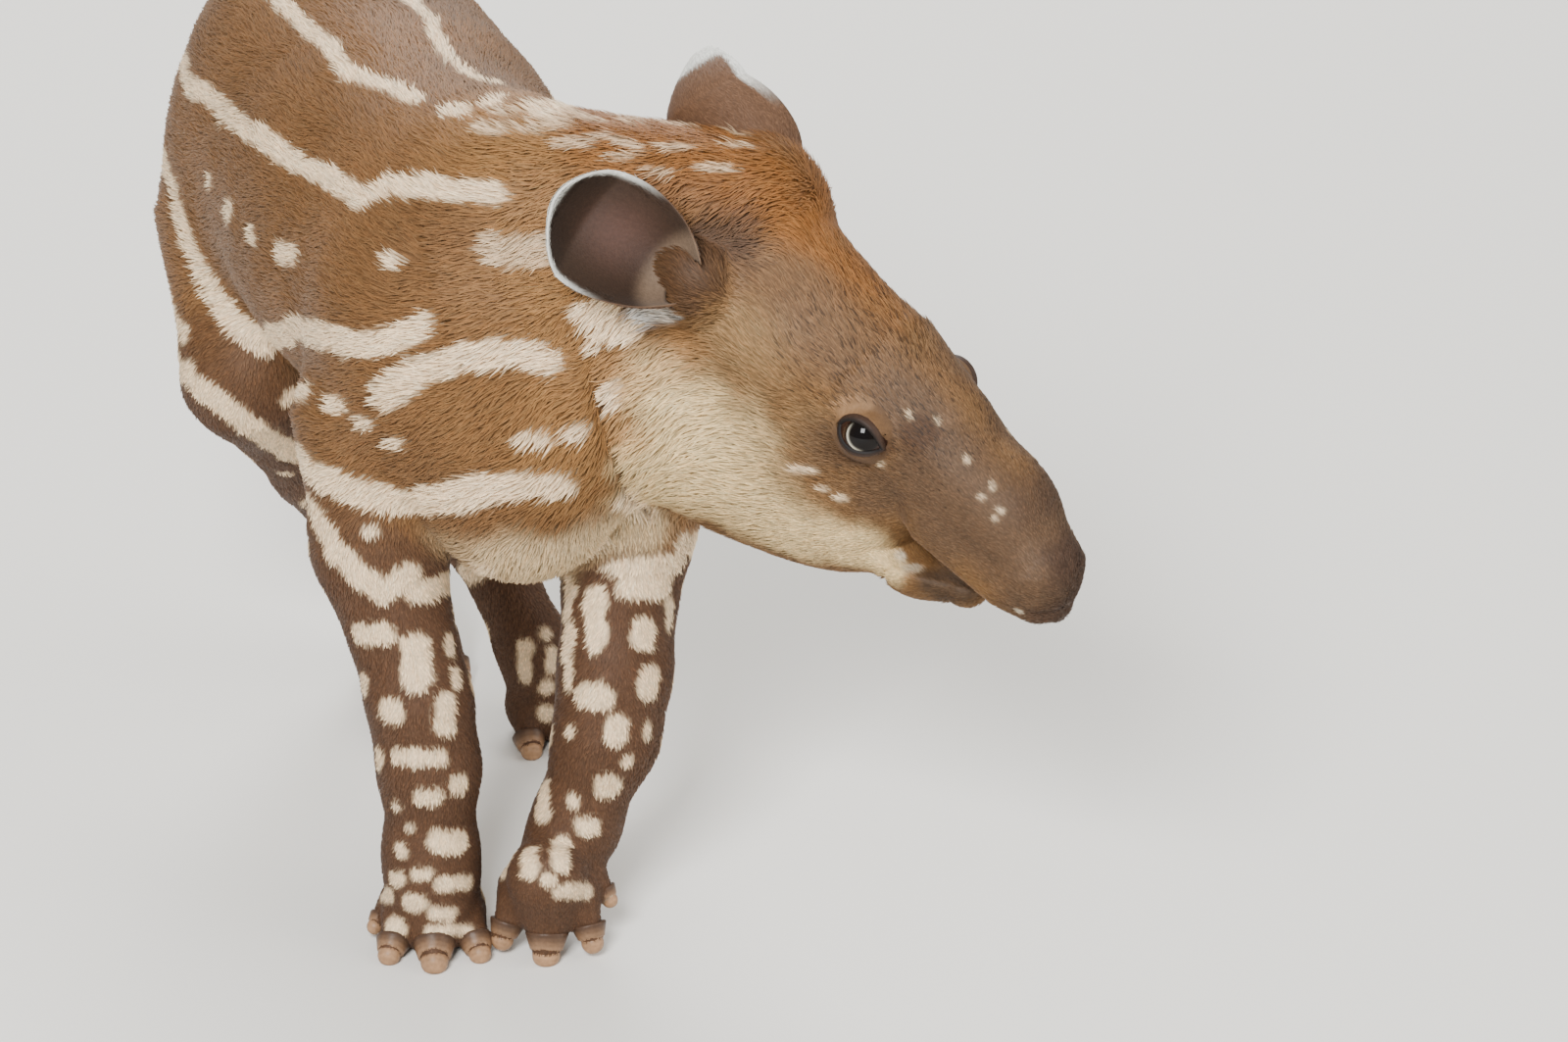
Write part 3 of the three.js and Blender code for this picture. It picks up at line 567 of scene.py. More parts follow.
def hair_material(name, tint, roughness, sheen):
    """Short hair: soft broken gloss and a light edge. Colour comes with the markings."""
    material, tree, shader = new_material(name)
    marks = node(tree, "ShaderNodeAttribute", {"attribute_name": "coat_colour"})
    grain = node(tree, "ShaderNodeTexNoise", links={"Vector": object_place(tree)},
                 Scale=1000 / 1.6, Detail=2.0)
    shade = ramp(tree, grain.outputs["Fac"], [(0.3, (0.86 * tint,) * 3), (0.7, (1.1 * tint,) * 3)])
    shade_colours(tree, shader, marks, shade)
    shader.inputs["Roughness"].default_value = roughness
    shader.inputs["IOR"].default_value = 1.55
    shader.inputs["Specular IOR Level"].default_value = 0.2
    shader.inputs["Sheen Weight"].default_value = sheen
    shader.inputs["Sheen Roughness"].default_value = 0.45
    return material, tree, shader


def skin_material():
    """Hide under the coat: a fine hair grain in the bump, painted a little darker than the hair as shade
    between the tufts.
    """
    # the 0.82 tint is painted shade: the skin seen between the tufts looks shaded
    material, tree, shader = hair_material("tapir hide with short hair", 0.82, 0.66, 0.03)
    where = object_place(tree)
    fine = node(tree, "ShaderNodeTexNoise", links={"Vector": where}, Scale=1000 / 0.9, Detail=3.0)
    folds = node(tree, "ShaderNodeTexVoronoi", {"feature": "DISTANCE_TO_EDGE"},
                 links={"Vector": where}, Scale=1000 / 3.2)
    total = node(tree, "ShaderNodeMath", {"operation": "MULTIPLY_ADD"},
                 links={0: folds.outputs["Distance"], 2: fine.outputs["Fac"]})
    total.inputs[1].default_value = 0.5
    bump = node(tree, "ShaderNodeBump", links={"Height": total.outputs[0]},
                Strength=0.5, Distance=0.0005)
    tree.links.new(bump.outputs[0], shader.inputs["Normal"])
    return material


# Markings, placed by where they show in the photo, in pixels of its 1600 x 1063 frame


VIEW_AZIMUTH, VIEW_ELEVATION = math.radians(-20), math.radians(28)
VIEW_FROM = vec(-846.7, -2770.2, 1708.1)
FOCAL_PIXELS = 7350.0
PHOTO_WIDTH, PHOTO_HEIGHT = 1600, 1063
LOOK = -vec(math.sin(VIEW_AZIMUTH) * math.cos(VIEW_ELEVATION),
            -math.cos(VIEW_AZIMUTH) * math.cos(VIEW_ELEVATION), math.sin(VIEW_ELEVATION))
RIGHT = vec(math.cos(VIEW_AZIMUTH), math.sin(VIEW_AZIMUTH), 0)
PIXEL = 1 / 2.19  # millimetres on the animal for one pixel

# stripe: width in pixels, then its middle line
STRIPES = {
    "spine": (15, [(417, 0), (440, 20), (452, 51), (464, 67), (488, 83), (512, 89)]),
    "upper": (17, [(285, 0), (310, 25), (340, 50), (360, 80), (395, 90), (430, 105)]),
    "second": (22, [(187, 43), (195, 87), (227, 107), (259, 138), (298, 162), (338, 182),
                    (373, 206), (409, 192), (448, 194), (515, 198)]),
    "neck end": (34, [(515, 252), (540, 252), (566, 250)]),
    "third": (27, [(176, 178), (195, 245), (219, 292), (243, 328), (270, 348), (310, 338),
                   (377, 352), (417, 344), (438, 332)]),
    "third front": (29, [(397, 403), (432, 379), (484, 360), (535, 356), (568, 366)]),
    "fourth": (31, [(298, 455), (326, 484), (377, 502), (432, 512), (496, 498), (535, 492),
                    (579, 488)]),
    "fourth rear": (30, [(203, 395), (232, 415), (262, 440), (298, 462)]),
    "fifth": (26, [(318, 514), (342, 560), (369, 588), (393, 603), (417, 585)]),
    "fifth front": (24, [(425, 603), (464, 589), (496, 577)]),
    "flank rear": (22, [(164, 290), (176, 318), (190, 338)]),
}
# the two along the back are a pair already
ONE_SIDE = ("spine", "upper")
# stripes that run on to the rump
RUN_BACK = ("spine", "upper", "second", "third", "flank rear", "fourth rear")

# spots: x, y, width, height in pixels
SPOTS = [
    (468, 117, 34, 20), (511, 134, 40, 14), (547, 134, 30, 12), (594, 146, 40, 12),
    (217, 184, 16, 14), (237, 217, 24, 20), (261, 241, 22, 20), (297, 259, 34, 22),
    (405, 269, 18, 14), (306, 403, 38, 16), (348, 413, 30, 18), (377, 431, 20, 14),
    (409, 451, 20, 14), (551, 443, 34, 18), (591, 437, 24, 14), (290, 482, 16, 10),
    (379, 540, 18, 12), (612, 335, 16, 40), (628, 400, 26, 26),
    (380, 645, 45, 20), (425, 675, 28, 60), (458, 656, 18, 24), (464, 690, 14, 24),
    (372, 696, 18, 22), (399, 724, 28, 25), (455, 728, 22, 44), (428, 771, 58, 17),
    (387, 774, 16, 26), (437, 813, 28, 18), (470, 798, 22, 20), (405, 822, 12, 9),
    (419, 843, 12, 9), (458, 858, 44, 22), (410, 867, 16, 14), (431, 891, 20, 12),
    (405, 896, 20, 14), (464, 900, 40, 14), (395, 912, 20, 14), (423, 921, 26, 18),
    (404, 944, 24, 16), (450, 932, 30, 14), (458, 948, 50, 12),
    (608, 630, 24, 70), (656, 646, 24, 34), (659, 597, 60, 22), (683, 624, 14, 34),
    (606, 709, 40, 26), (662, 696, 26, 34), (629, 744, 24, 30), (582, 745, 12, 10),
    (581, 684, 12, 40), (621, 801, 28, 26), (555, 816, 20, 44), (585, 816, 12, 12),
    (599, 843, 26, 20), (572, 871, 16, 40), (540, 879, 18, 34), (561, 897, 16, 12),
    (586, 908, 40, 14), (660, 745, 12, 20), (640, 775, 12, 12),
    (536, 675, 16, 44), (563, 672, 12, 28), (558, 700, 16, 16), (557, 727, 18, 18),
    (557, 646, 14, 16), (824, 481, 30, 8), (988, 470, 5, 8), (1003, 508, 7, 5),
    (1013, 497, 4, 8), (1022, 522, 7, 5), (930, 425, 4, 8), (958, 430, 4, 7),
    (1016, 530, 5, 5), (860, 508, 14, 6), (842, 500, 10, 5), (901, 474, 4, 8),
]

# soft areas: the name of the place, its colour, then x, y, radius in pixels and strength
AREAS = [
    ("tan neck", "90673b", [(560, 170, 80, .8), (520, 300, 60, .45), (590, 300, 60, .8),
                            (600, 400, 60, .8), (590, 480, 60, .7), (500, 420, 70, .35),
                            (480, 150, 60, .35), (620, 230, 60, .8)]),
    ("orange crown", "87572a", [(640, 150, 60, .8), (720, 150, 60, .9), (780, 190, 50, 1),
                                (830, 240, 40, .9), (870, 290, 34, .7), (900, 330, 28, .45)]),
    ("brown brow", "6f5237", [(830, 330, 52, .8), (880, 370, 45, .75), (940, 400, 45, .7),
                              (790, 300, 46, .6)]),
    ("ear root", "503824", [(735, 250, 36, 1), (716, 285, 30, 1), (690, 282, 28, 1),
                            (702, 262, 26, 1), (706, 310, 18, .9), (760, 240, 34, .7)]),
    ("pale temple", "9d7f58", [(770, 370, 50, .25), (760, 345, 40, .4), (830, 440, 34, .3)]),
    ("cream cheek", "dfc28f", [(700, 430, 56, .9), (720, 480, 60, .9), (680, 500, 50, .9),
                               (770, 520, 56, .9), (820, 550, 40, .95), (870, 560, 34, .95),
                               (905, 575, 22, .9), (670, 380, 36, .7), (650, 460, 26, .8),
                               (760, 450, 46, .6)]),
    ("golden jowl", "b98a58", [(640, 380, 30, .45), (650, 440, 26, .4), (690, 540, 30, .3),
                              (700, 360, 30, .4)]),
    ("grey muzzle", "5e4733", [(900, 500, 40, .8), (960, 480, 60, 1), (1010, 540, 60, 1),
                               (960, 545, 36, .9), (1060, 560, 60, 1), (1060, 620, 40, 1),
                               (930, 420, 36, .8), (850, 455, 34, .7)]),
    ("dark tip", "453226", [(1095, 575, 30, .7), (1085, 620, 26, .7), (1060, 632, 14, .7),
                            (1070, 500, 26, .35)]),
    # eye shade: painted shade in the hollow in front of each eye
    ("eye shade", "452c18", [(941, 446, 22, .75), (905, 458, 12, .6), (876, 449, 36, .55)]),
    ("pale brow", "ab8560", [(862, 419, 13, .5), (878, 414, 10, .4)]),
    ("chest cream", "d0b58c", [(610, 545, 46, .85), (560, 572, 34, .8), (655, 535, 34, .8)]),
    ("mouth corner", "d8c9ae", [(922, 568, 8, .8), (934, 580, 9, .5), (1042, 624, 4, .6)]),
    ("lip", "4a3828", [(965, 600, 26, .9), (990, 603, 16, .9), (950, 590, 12, .6)]),
    ("ear foot", "ece6dc", [(664, 316, 18, .9), (684, 322, 14, .8)]),
]
# faint pale streaks on the nape, laid out as the spots are
STREAKS = [(660, 128, 44, 9), (700, 150, 40, 8), (640, 160, 30, 8), (740, 172, 36, 8),
           (700, 128, 30, 7), (760, 150, 30, 7), (620, 140, 30, 8), (680, 172, 30, 7)]
# soft creases, the neck's first: width and depth in millimetres, and the line in pixels
FOLDS = [
    (5.0, 2.2, [(606, 372), (611, 400), (622, 440), (640, 492), (662, 522)]),
    (2.6, 0.8, [(897, 457), (905, 466), (914, 473)]),
    (2.8, 0.8, [(846, 432), (858, 420), (876, 415), (894, 421)]),
    (2.6, 0.7, [(852, 466), (870, 476), (890, 476), (904, 470)]),
    (3.0, 0.9, [(905, 556), (914, 566), (918, 578)]),
    (3.0, 0.6, [(1008, 566), (1020, 590), (1030, 612)]),
]


def photo_ray(x, y):
    """The way from the camera through a pixel of the photo."""
    up = np.cross(RIGHT, LOOK)
    return unit(LOOK + RIGHT * (x - PHOTO_WIDTH / 2) / FOCAL_PIXELS
                - up * (y - PHOTO_HEIGHT / 2) / FOCAL_PIXELS)


class Hide:
    """The finished skin: places on it, and which part of the body they belong to."""

    def __init__(self, corners, quads):
        self.corners, self.quads = corners, quads
        self.tree = BVHTree.FromPolygons([Vector(c) for c in corners],
                                         [tuple(q) for q in quads.tolist()])

    def seen_at(self, x, y):
        hit = self.tree.ray_cast(Vector(VIEW_FROM), Vector(photo_ray(x, y)))
        return None if hit[0] is None else vec(*hit[0])

    def in_view(self, p):
        """True where the photo shows this place, so its own spots are known."""
        hit = self.tree.ray_cast(Vector(VIEW_FROM), Vector(unit(p - VIEW_FROM)))
        return hit[0] is not None and np.linalg.norm(vec(*hit[0]) - p) < 3

    def nearest(self, p):
        return vec(*self.tree.find_nearest(Vector(p))[0])

    def other_side(self, line):
        return np.array([self.nearest(q) for q in mirrored(line)])

    def out_from(self, p, way):
        """The outer surface, from a point inside along a way."""
        hit = self.tree.ray_cast(Vector(p), Vector(way))
        return None if hit[0] is None else vec(*hit[0])


def part_weights(p):
    """Share of head, neck, trunk and legs at each point."""
    legs = masses_at(p, [m for part in LIMBS.values() for m in part[1:]] + ALL_FEET)
    d = np.stack([masses_at(p, SKULL + SNOUT + JAW), masses_at(p, NECK),
                  masses_at(p, TORSO), legs], 1)
    w = np.exp(-(d - d.min(1, keepdims=True)) / 9.0)
    return w / w.sum(1, keepdims=True)


NECK_AXIS = unit(head_at(-110, 2, -10) - vec(24, -28, 290))
NECK_SIDE = unit(np.cross(NECK_AXIS, vec(0, 0, 1)))
NECK_MIDDLE = 0.5 * (head_at(-110, 2, -10) + vec(24, -28, 290))


def trunk_middle(y):
    return np.interp(y, [-48, -8, 96, 182], [20, 16, 9, 6])


def mirrored(p):
    """The same place on the animal's other side."""
    p = np.atleast_2d(p)
    w = part_weights(p)[:, :3]
    w = w / w.sum(1, keepdims=True)
    side = HEAD_TURN[:, 0]
    head = p - 2 * ((p - HEAD_CENTRE) @ side)[:, None] * side
    neck = p - 2 * ((p - NECK_MIDDLE) @ NECK_SIDE)[:, None] * NECK_SIDE
    trunk = p.copy()
    trunk[:, 0] = 2 * trunk_middle(p[:, 1]) - p[:, 0]
    return w[:, :1] * head + w[:, 1:2] * neck + w[:, 2:] * trunk


def chain(points, gap=6.0):
    """A line cut into even short steps."""
    points = np.asarray(points, float)
    out = [points[0]]
    for a, b in zip(points, points[1:]):
        n = max(1, int(np.linalg.norm(b - a) / gap))
        out += [a + (b - a) * (i + 1) / n for i in range(n)]
    return np.array(out)


def on_hide(hide, pixels):
    """Pixels of the photo as places on the skin."""
    found = [hide.seen_at(x, y) for x, y in pixels]
    return np.array([f for f in found if f is not None])


def run_back(hide, start, rng):
    """Carry a stripe from its last seen place to the rump, with a slight waver."""
    centre = vec(trunk_middle(start[1]), start[1], 286)
    angle = math.atan2(start[2] - centre[2], start[0] - centre[0])
    points = [start]
    waver = 0.0
    for y in np.arange(start[1] + 9, 262, 9.0):
        waver += rng.normal(0, 0.02)
        share = step(200, 270, y)
        turn = angle + waver + share * 0.25 * np.sign(math.cos(angle)) * (1 if angle > -0.2 else -1)
        way = vec(math.cos(turn), 0.25 * share, math.sin(turn))
        hit = hide.out_from(vec(trunk_middle(y), min(y, 225), 286), unit(way))
        if hit is None:
            break
        if np.linalg.norm(hit - points[-1]) > 40:
            break
        points.append(hit)
    return np.array(points)


class Markings:
    """Stripes and spots as short capsules on the skin, and soft areas of colour."""

    def __init__(self, hide):
        rng = np.random.default_rng(41)
        self.marks = []
        self.areas = []
        self.creases = []
        for _, _, pixels in FOLDS[:1]:
            line = on_hide(hide, chain(pixels, 5))
            self.creases += [(line, 1.3), (hide.other_side(line), 1.3)]
        for name, (width, pixels) in STRIPES.items():
            line = on_hide(hide, chain(pixels, 9))
            half = width * PIXEL / 2
            self.add(line, half)
            sides = [line]
            if name not in ONE_SIDE:
                sides.append(hide.other_side(line))
                self.add(sides[1], half * 0.96)
            if name in RUN_BACK:
                for seen in sides:
                    self.add(run_back(hide, seen[0], rng), half * 0.85)
        for x, y, wide, high in SPOTS + STREAKS:
            length = abs(wide - high) / 2
            ends = [(x - length, y), (x + length, y)] if wide > high else [(x, y - length), (x, y + length)]
            line = on_hide(hide, chain(ends, 5))
            if len(line) == 0:
                continue
            half = min(wide, high) * PIXEL / 2 * 1.05
            self.add(line, half)
            if line[0][2] > 170 or np.linalg.norm(line[0] - HEAD_CENTRE) < 200:
                self.add(hide.other_side(line), half)
        self.scatter(hide, rng)
        for name, colour, spots in AREAS:
            for x, y, radius, strength in spots:
                seen = hide.seen_at(x, y)
                if seen is None:
                    continue
                for q in (seen, hide.nearest(mirrored(seen)[0])):
                    self.areas.append((np.array(linear(colour)), q, radius * PIXEL, strength))

    def add(self, line, half):
        """Keep a mark; those on the nape and the small ones on the head are fainter."""
        if len(line):
            nape = part_weights(line).mean(0)[:2].sum() > 0.5 and line[:, 2].mean() > 330
            small = half < 3.2 and part_weights(line).mean(0)[0] > 0.5
            self.marks.append((line, half, 0.55 if nape else 0.7 if small else 1.0))

    def scatter(self, hide, rng):
        """Spots where the photo does not reach: backs of the legs, rump and thighs."""
        pool = hide.corners[rng.permutation(len(hide.corners))[:9000]]
        taken = np.concatenate([mark[0] for mark in self.marks])
        w = part_weights(pool)
        for p, share in zip(pool, w):
            leg = share[3] > 0.6 and 14 < p[2] < 200
            thigh = share[2] > 0.5 and p[1] > 120 and p[2] < 330
            if not (leg or thigh) or hide.in_view(p):
                continue
            half = rng.uniform(3.0, 6.5) if leg else rng.uniform(3.5, 6.0)
            gap = half + (9.5 if leg else 14.0)
            if np.min(((taken - p) ** 2).sum(1)) < gap ** 2:
                continue
            length = rng.uniform(0, 8) if leg else rng.uniform(0, 10)
            way = vec(rng.normal(0, .3), rng.normal(0, .3), 1) if leg else vec(0, 1, rng.normal(0, .3))
            line = np.array([hide.nearest(p + unit(way) * s) for s in (-length / 2, 0, length / 2)])
            self.add(line, half)
            taken = np.concatenate([taken, line])

    def cover(self, p):
        """1 on a mark, 0 off it, with a ragged hairy edge."""
        amount = np.zeros(len(p))
        ragged = (NOISE[0].at(p, 5.0) - 0.5) * 2.6 + (NOISE[1].at(p, 2.0) - 0.5) * 1.4
        for line, half, strength in self.marks:
            pad = half + 4
            near = inside_box(p, line.min(0), line.max(0), pad)
            if not len(near):
                continue
            q = p[near]
            best = np.full(len(q), 1e9)
            ends = zip(line, line[1:]) if len(line) > 1 else [(line[0], line[0])]
            for a, b in ends:
                ab = b - a
                t = np.clip(((q - a) @ ab) / max(ab @ ab, 1e-9), 0, 1)
                best = np.minimum(best, ((q - a - t[:, None] * ab) ** 2).sum(1))
            d = np.sqrt(best) + ragged[near] * min(1.0, half / 4)
            amount[near] = np.maximum(amount[near], strength * (1 - step(half - 1.5, half + 1.5, d)))
        return amount

    def shadow(self, p):
        """Dark lines in the creases."""
        amount = np.zeros(len(p))
        for line, half in self.creases:
            near = inside_box(p, line.min(0), line.max(0), 5)
            if len(near):
                d = gap_to(p[near], line)
                amount[near] = np.maximum(amount[near], 1 - step(half * 0.5, half * 2, d))
        return amount

    def colours(self, p, weights):
        """Linear colour of the coat at points on the skin."""
        brown, deep = np.array(linear(COAT_BROWN)), np.array(linear(COAT_DEEP))
        slow = NOISE[2].at(p, 38.0)
        rgb = brown + (deep - brown) * (0.55 * slow)[:, None]
        legs = step(0.3, 0.7, weights[:, 3]) * (1 - 0.5 * step(170, 225, p[:, 2]))
        rgb = mix(rgb, linear(LEG_BROWN), legs)
        inward = 1 - step(34, 56, np.abs(p[:, 0] - trunk_middle(p[:, 1])))
        belly = (1 - step(194, 214, p[:, 2])) * (1 - legs) * (1 - weights[:, 0]) * inward
        rgb = mix(rgb, linear(BELLY_PALE), 0.75 * belly)
        head = weights[:, 0]
        rgb = mix(rgb, linear(HEAD_BROWN), head * 0.8)
        for colour, centre, radius, strength in self.areas:
            pad = radius * 1.5
            near = np.flatnonzero((np.abs(p - centre) < pad).all(1))
            d = np.linalg.norm(p[near] - centre, axis=1) + (NOISE[0].at(p[near], 9.0) - 0.5) * 6
            rgb[near] = mix(rgb[near], colour, strength * (1 - step(radius * 0.45, radius * 1.35, d)))
        patch = self.cover(p)
        pale = np.array(linear(STRIPE_PALE))
        rgb = mix(rgb, pale, patch * 0.95)
        rgb = mix(rgb, linear("3c281d"), 0.75 * self.shadow(p))
        speck = NOISE[3].at(p, 3.4)
        return rgb * (0.92 + 0.16 * speck)[:, None]


def mix(a, b, t):
    """From colours a toward b by the share t."""
    return a + (np.asarray(b) - a) * np.asarray(t)[:, None]


COAT_BROWN = "7b5632"
COAT_DEEP = "5c4126"
LEG_BROWN = "573c29"
BELLY_PALE = "bfa37c"
HEAD_BROWN = "785836"
STRIPE_PALE = "f3d7b0"


def lie_of_coat(p, normal, weights):
    """Direction in which the hair lies, along the skin."""
    up = head_axes(p)[2]
    head = -HEAD_TURN @ vec(0, -1, 0)
    down = vec(0, 0, -1)
    cheek = 1 - step(-60, 10, up)
    ways = [head[None] + down * (0.35 * cheek)[:, None],
            np.broadcast_to(-NECK_AXIS + 0.35 * down, p.shape),
            np.broadcast_to(vec(0, 1, -0.22), p.shape),
            np.broadcast_to(vec(0, 0.18, -1), p.shape)]
    way = sum(w * weights[:, i:i + 1] for i, w in enumerate(ways))
    way = way - normal * (way * normal).sum(1, keepdims=True)
    return unit(way)


# Settings that a user would change


class TAPIR_PG_coat(bpy.types.PropertyGroup):
    spacing: FloatProperty(name="Tuft area", default=2.3, min=0.5,
                           description="Skin area for one tuft on the trunk, square millimetres")
    length: FloatProperty(name="Hair length", default=7.0,
                          description="Length of the hair on the trunk, millimetres")
    width: FloatProperty(name="Tuft width", default=0.85,
                         description="Width of a tuft at its root, millimetres")
    seed: IntProperty(name="Seed", description="Draw of the tufts", default=7)


class TAPIR_PG_skin(bpy.types.PropertyGroup):
    cell: FloatProperty(name="Body cell", description="Mesh size on the body, millimetres", default=3.0)
    head_cell: FloatProperty(name="Head cell", description="Mesh size on the head, millimetres", default=1.5)


class TAPIR_PG_eye(bpy.types.PropertyGroup):
    colour: FloatVectorProperty(name="Eye", description="Colour of the pupil and iris", subtype="COLOR",
                                default=linear("0b0808"), min=0, max=1)
    bulge: FloatProperty(name="Cornea", description="How far the cornea stands out, millimetres", default=0.7)


class TAPIR_PG_stage(bpy.types.PropertyGroup):
    floor: FloatVectorProperty(name="Floor", description="Colour of the floor", subtype="COLOR",
                               default=linear("e6e4de"), min=0, max=1)
    light: FloatProperty(name="Key light", description="Power of the main soft light",
                         default=210.0, unit="POWER")


# what the skin leaves for the coat: its places, normals, weights and markings
BUILT = {}
# the box that holds the body, and the part of it round the head where the mesh is finer
BODY_LOW, BODY_HIGH = vec(-90, -300, -4), vec(300, 310, 398)
HEAD_LOW, HEAD_HIGH = vec(34, -262, 172), vec(238, -34, 360)
# distance from the surface beyond which the shape is not worked out in full
BAND = 12.0


class TAPIR_OT_skin(bpy.types.Operator):
    """One closed skin over the whole body, with its markings"""

    bl_idname = "tapir.skin"
    bl_label = "Skin"

    def execute(self, context):
        s = context.scene.tapir_skin
        cells = (s.cell, s.cell, s.cell * 0.8)
        axes = [ramp_axis(BODY_LOW[i], BODY_HIGH[i], HEAD_LOW[i], HEAD_HIGH[i], cells[i], s.head_cell)
                for i in range(3)]
        upper, lower = grid_masses(axes, UPPER), grid_masses(axes, LOWER)
        value = np.empty(upper.shape, np.float32)
        y, z = np.meshgrid(axes[1], axes[2], indexing="ij")
        for i, x in enumerate(axes[0]):
            p = np.stack([np.full(y.size, x), y.ravel(), z.ravel()], 1)
            near = np.flatnonzero(np.minimum(upper[i], lower[i]).ravel() < BAND)
            row = np.full(y.size, BAND, np.float32)
            q = p[near]
            row[near] = shape(q, upper[i].ravel()[near].astype(float),
                              lower[i].ravel()[near].astype(float)) + depth_of_coat(q)
            value[i] = row.reshape(y.shape)
        value[value == 0] = 1e-5
        corners, quads = surface_nets(value, axes)
        corners = settle(corners)
        corners, quads = biggest_piece(corners, quads)
        hide = Hide(corners, quads)
        skin = make_mesh("skin", corners, [quads])
        normal = normals_of(skin)
        corners = press_folds(hide, corners, normal)
        skin.data.vertices.foreach_set("co", place(corners).astype(np.float32).ravel())
        skin.data.update()
        hide = Hide(corners, quads)
        marks = Markings(hide)
        weights = part_weights(corners)
        set_colours(skin, marks.colours(corners, weights))
        skin.data.materials.append(skin_material())
        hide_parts(*TRUNK_NODES)
        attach(skin, "root")
        BUILT.update(hide=hide, marks=marks, weights=weights, skin=skin, normal=normals_of(skin))
        return {"FINISHED"}


def normals_of(thing):
    """Normals at the corners of a mesh."""
    out = np.empty(len(thing.data.vertices) * 3, np.float32)
    thing.data.vertex_normals.foreach_get("vector", out)
    return out.reshape(-1, 3).astype(float)


def biggest_piece(corners, quads):
    """Keep the outer skin and drop loose scraps."""
    label = np.arange(len(corners))
    while True:
        least = label[quads].min(1)
        new = label.copy()
        for c in range(4):
            np.minimum.at(new, quads[:, c], least)
        new = new[new]
        if (new == label).all():
            break
        label = new
    keep = label == np.bincount(label).argmax()
    number = np.cumsum(keep) - 1
    return corners[keep], number[quads[keep[quads].all(1)]]


def press_folds(hide, corners, normal):
    """Press the creases into the skin on both sides."""
    moved = corners.copy()
    for width, depth, pixels in FOLDS:
        line = on_hide(hide, chain(pixels, 5))
        for side in (0, 1):
            if side:
                line = hide.other_side(line)
            near = inside_box(corners, line.min(0), line.max(0), width)
            d = gap_to(corners[near], line)
            moved[near] -= normal[near] * (depth * np.exp(-(d / (0.45 * width)) ** 2))[:, None]
    return moved


# Coat


# triangles in one tuft, and the number that one coat piece has to stay under
TUFT_TRIANGLES = 6
PIECE_LIMIT = 200000
# no hair below this height, nor this near to the middle of an eye
BARE_SOLE, BARE_EYE = 3, 14.6
PIECES = ("coat_right_flank", "coat_right_rump", "coat_left_flank", "coat_left_rump",
          "coat_shoulders", "coat_neck", "coat_head_right", "coat_head_left", "coat_muzzle",
          "coat_right_foreleg", "coat_left_foreleg", "coat_right_hindleg", "coat_left_hindleg")


def piece_of(p, weights):
    """Which coat piece a tuft belongs to, and its place on an unrolled plan of that piece."""
    forward, left, up = head_axes(p)
    kind = weights.argmax(1)
    middle = trunk_middle(p[:, 1])
    number = np.where(p[:, 0] < middle, np.where(p[:, 1] < 110, 0, 1), np.where(p[:, 1] < 110, 2, 3))
    number = np.where((kind == 2) & (p[:, 1] < 10), 4, number)
    number = np.where(kind == 1, 5, number)
    number = np.where(kind == 0, np.where(forward > 22, 8, np.where(left < 0, 6, 7)), number)
    uv = np.zeros((len(p), 2))
    around = np.arctan2(p[:, 0] - middle, p[:, 2] - 286) / (2 * math.pi) + 0.5
    trunk = (number <= 4)
    uv[trunk] = np.stack([(p[trunk, 1] + 120) / 430, around[trunk]], 1)
    neck = number == 5
    q = p - NECK_MIDDLE
    spin = np.arctan2(q @ NECK_SIDE, q @ np.cross(NECK_SIDE, NECK_AXIS)) / (2 * math.pi) + 0.5
    uv[neck] = np.stack([(q @ NECK_AXIS + 90) / 180, spin], 1)[neck]
    head = (number >= 6) & (number <= 8)
    roll = np.arctan2(left, up + 20) / (2 * math.pi) + 0.5
    uv[head] = np.stack([(forward + 140) / 260, roll], 1)[head]
    off, spins = [], []
    for joints in LEG_JOINTS.values():
        line = np.array(joints, float)
        x = p[:, 0] - np.interp(-p[:, 2], -line[:, 2], line[:, 0])
        y = p[:, 1] - np.interp(-p[:, 2], -line[:, 2], line[:, 1])
        off.append(np.hypot(x, y))
        spins.append(np.arctan2(x, y) / (2 * math.pi) + 0.5)
    leg = np.argmin(off, 0)
    spin = np.array(spins)[leg, np.arange(len(p))]
    uv[kind == 3] = np.stack([spin, p[:, 2] / 250], 1)[kind == 3]
    number = np.where(kind == 3, 9 + leg, number)
    return number, np.clip(uv, 0.01, 0.99)


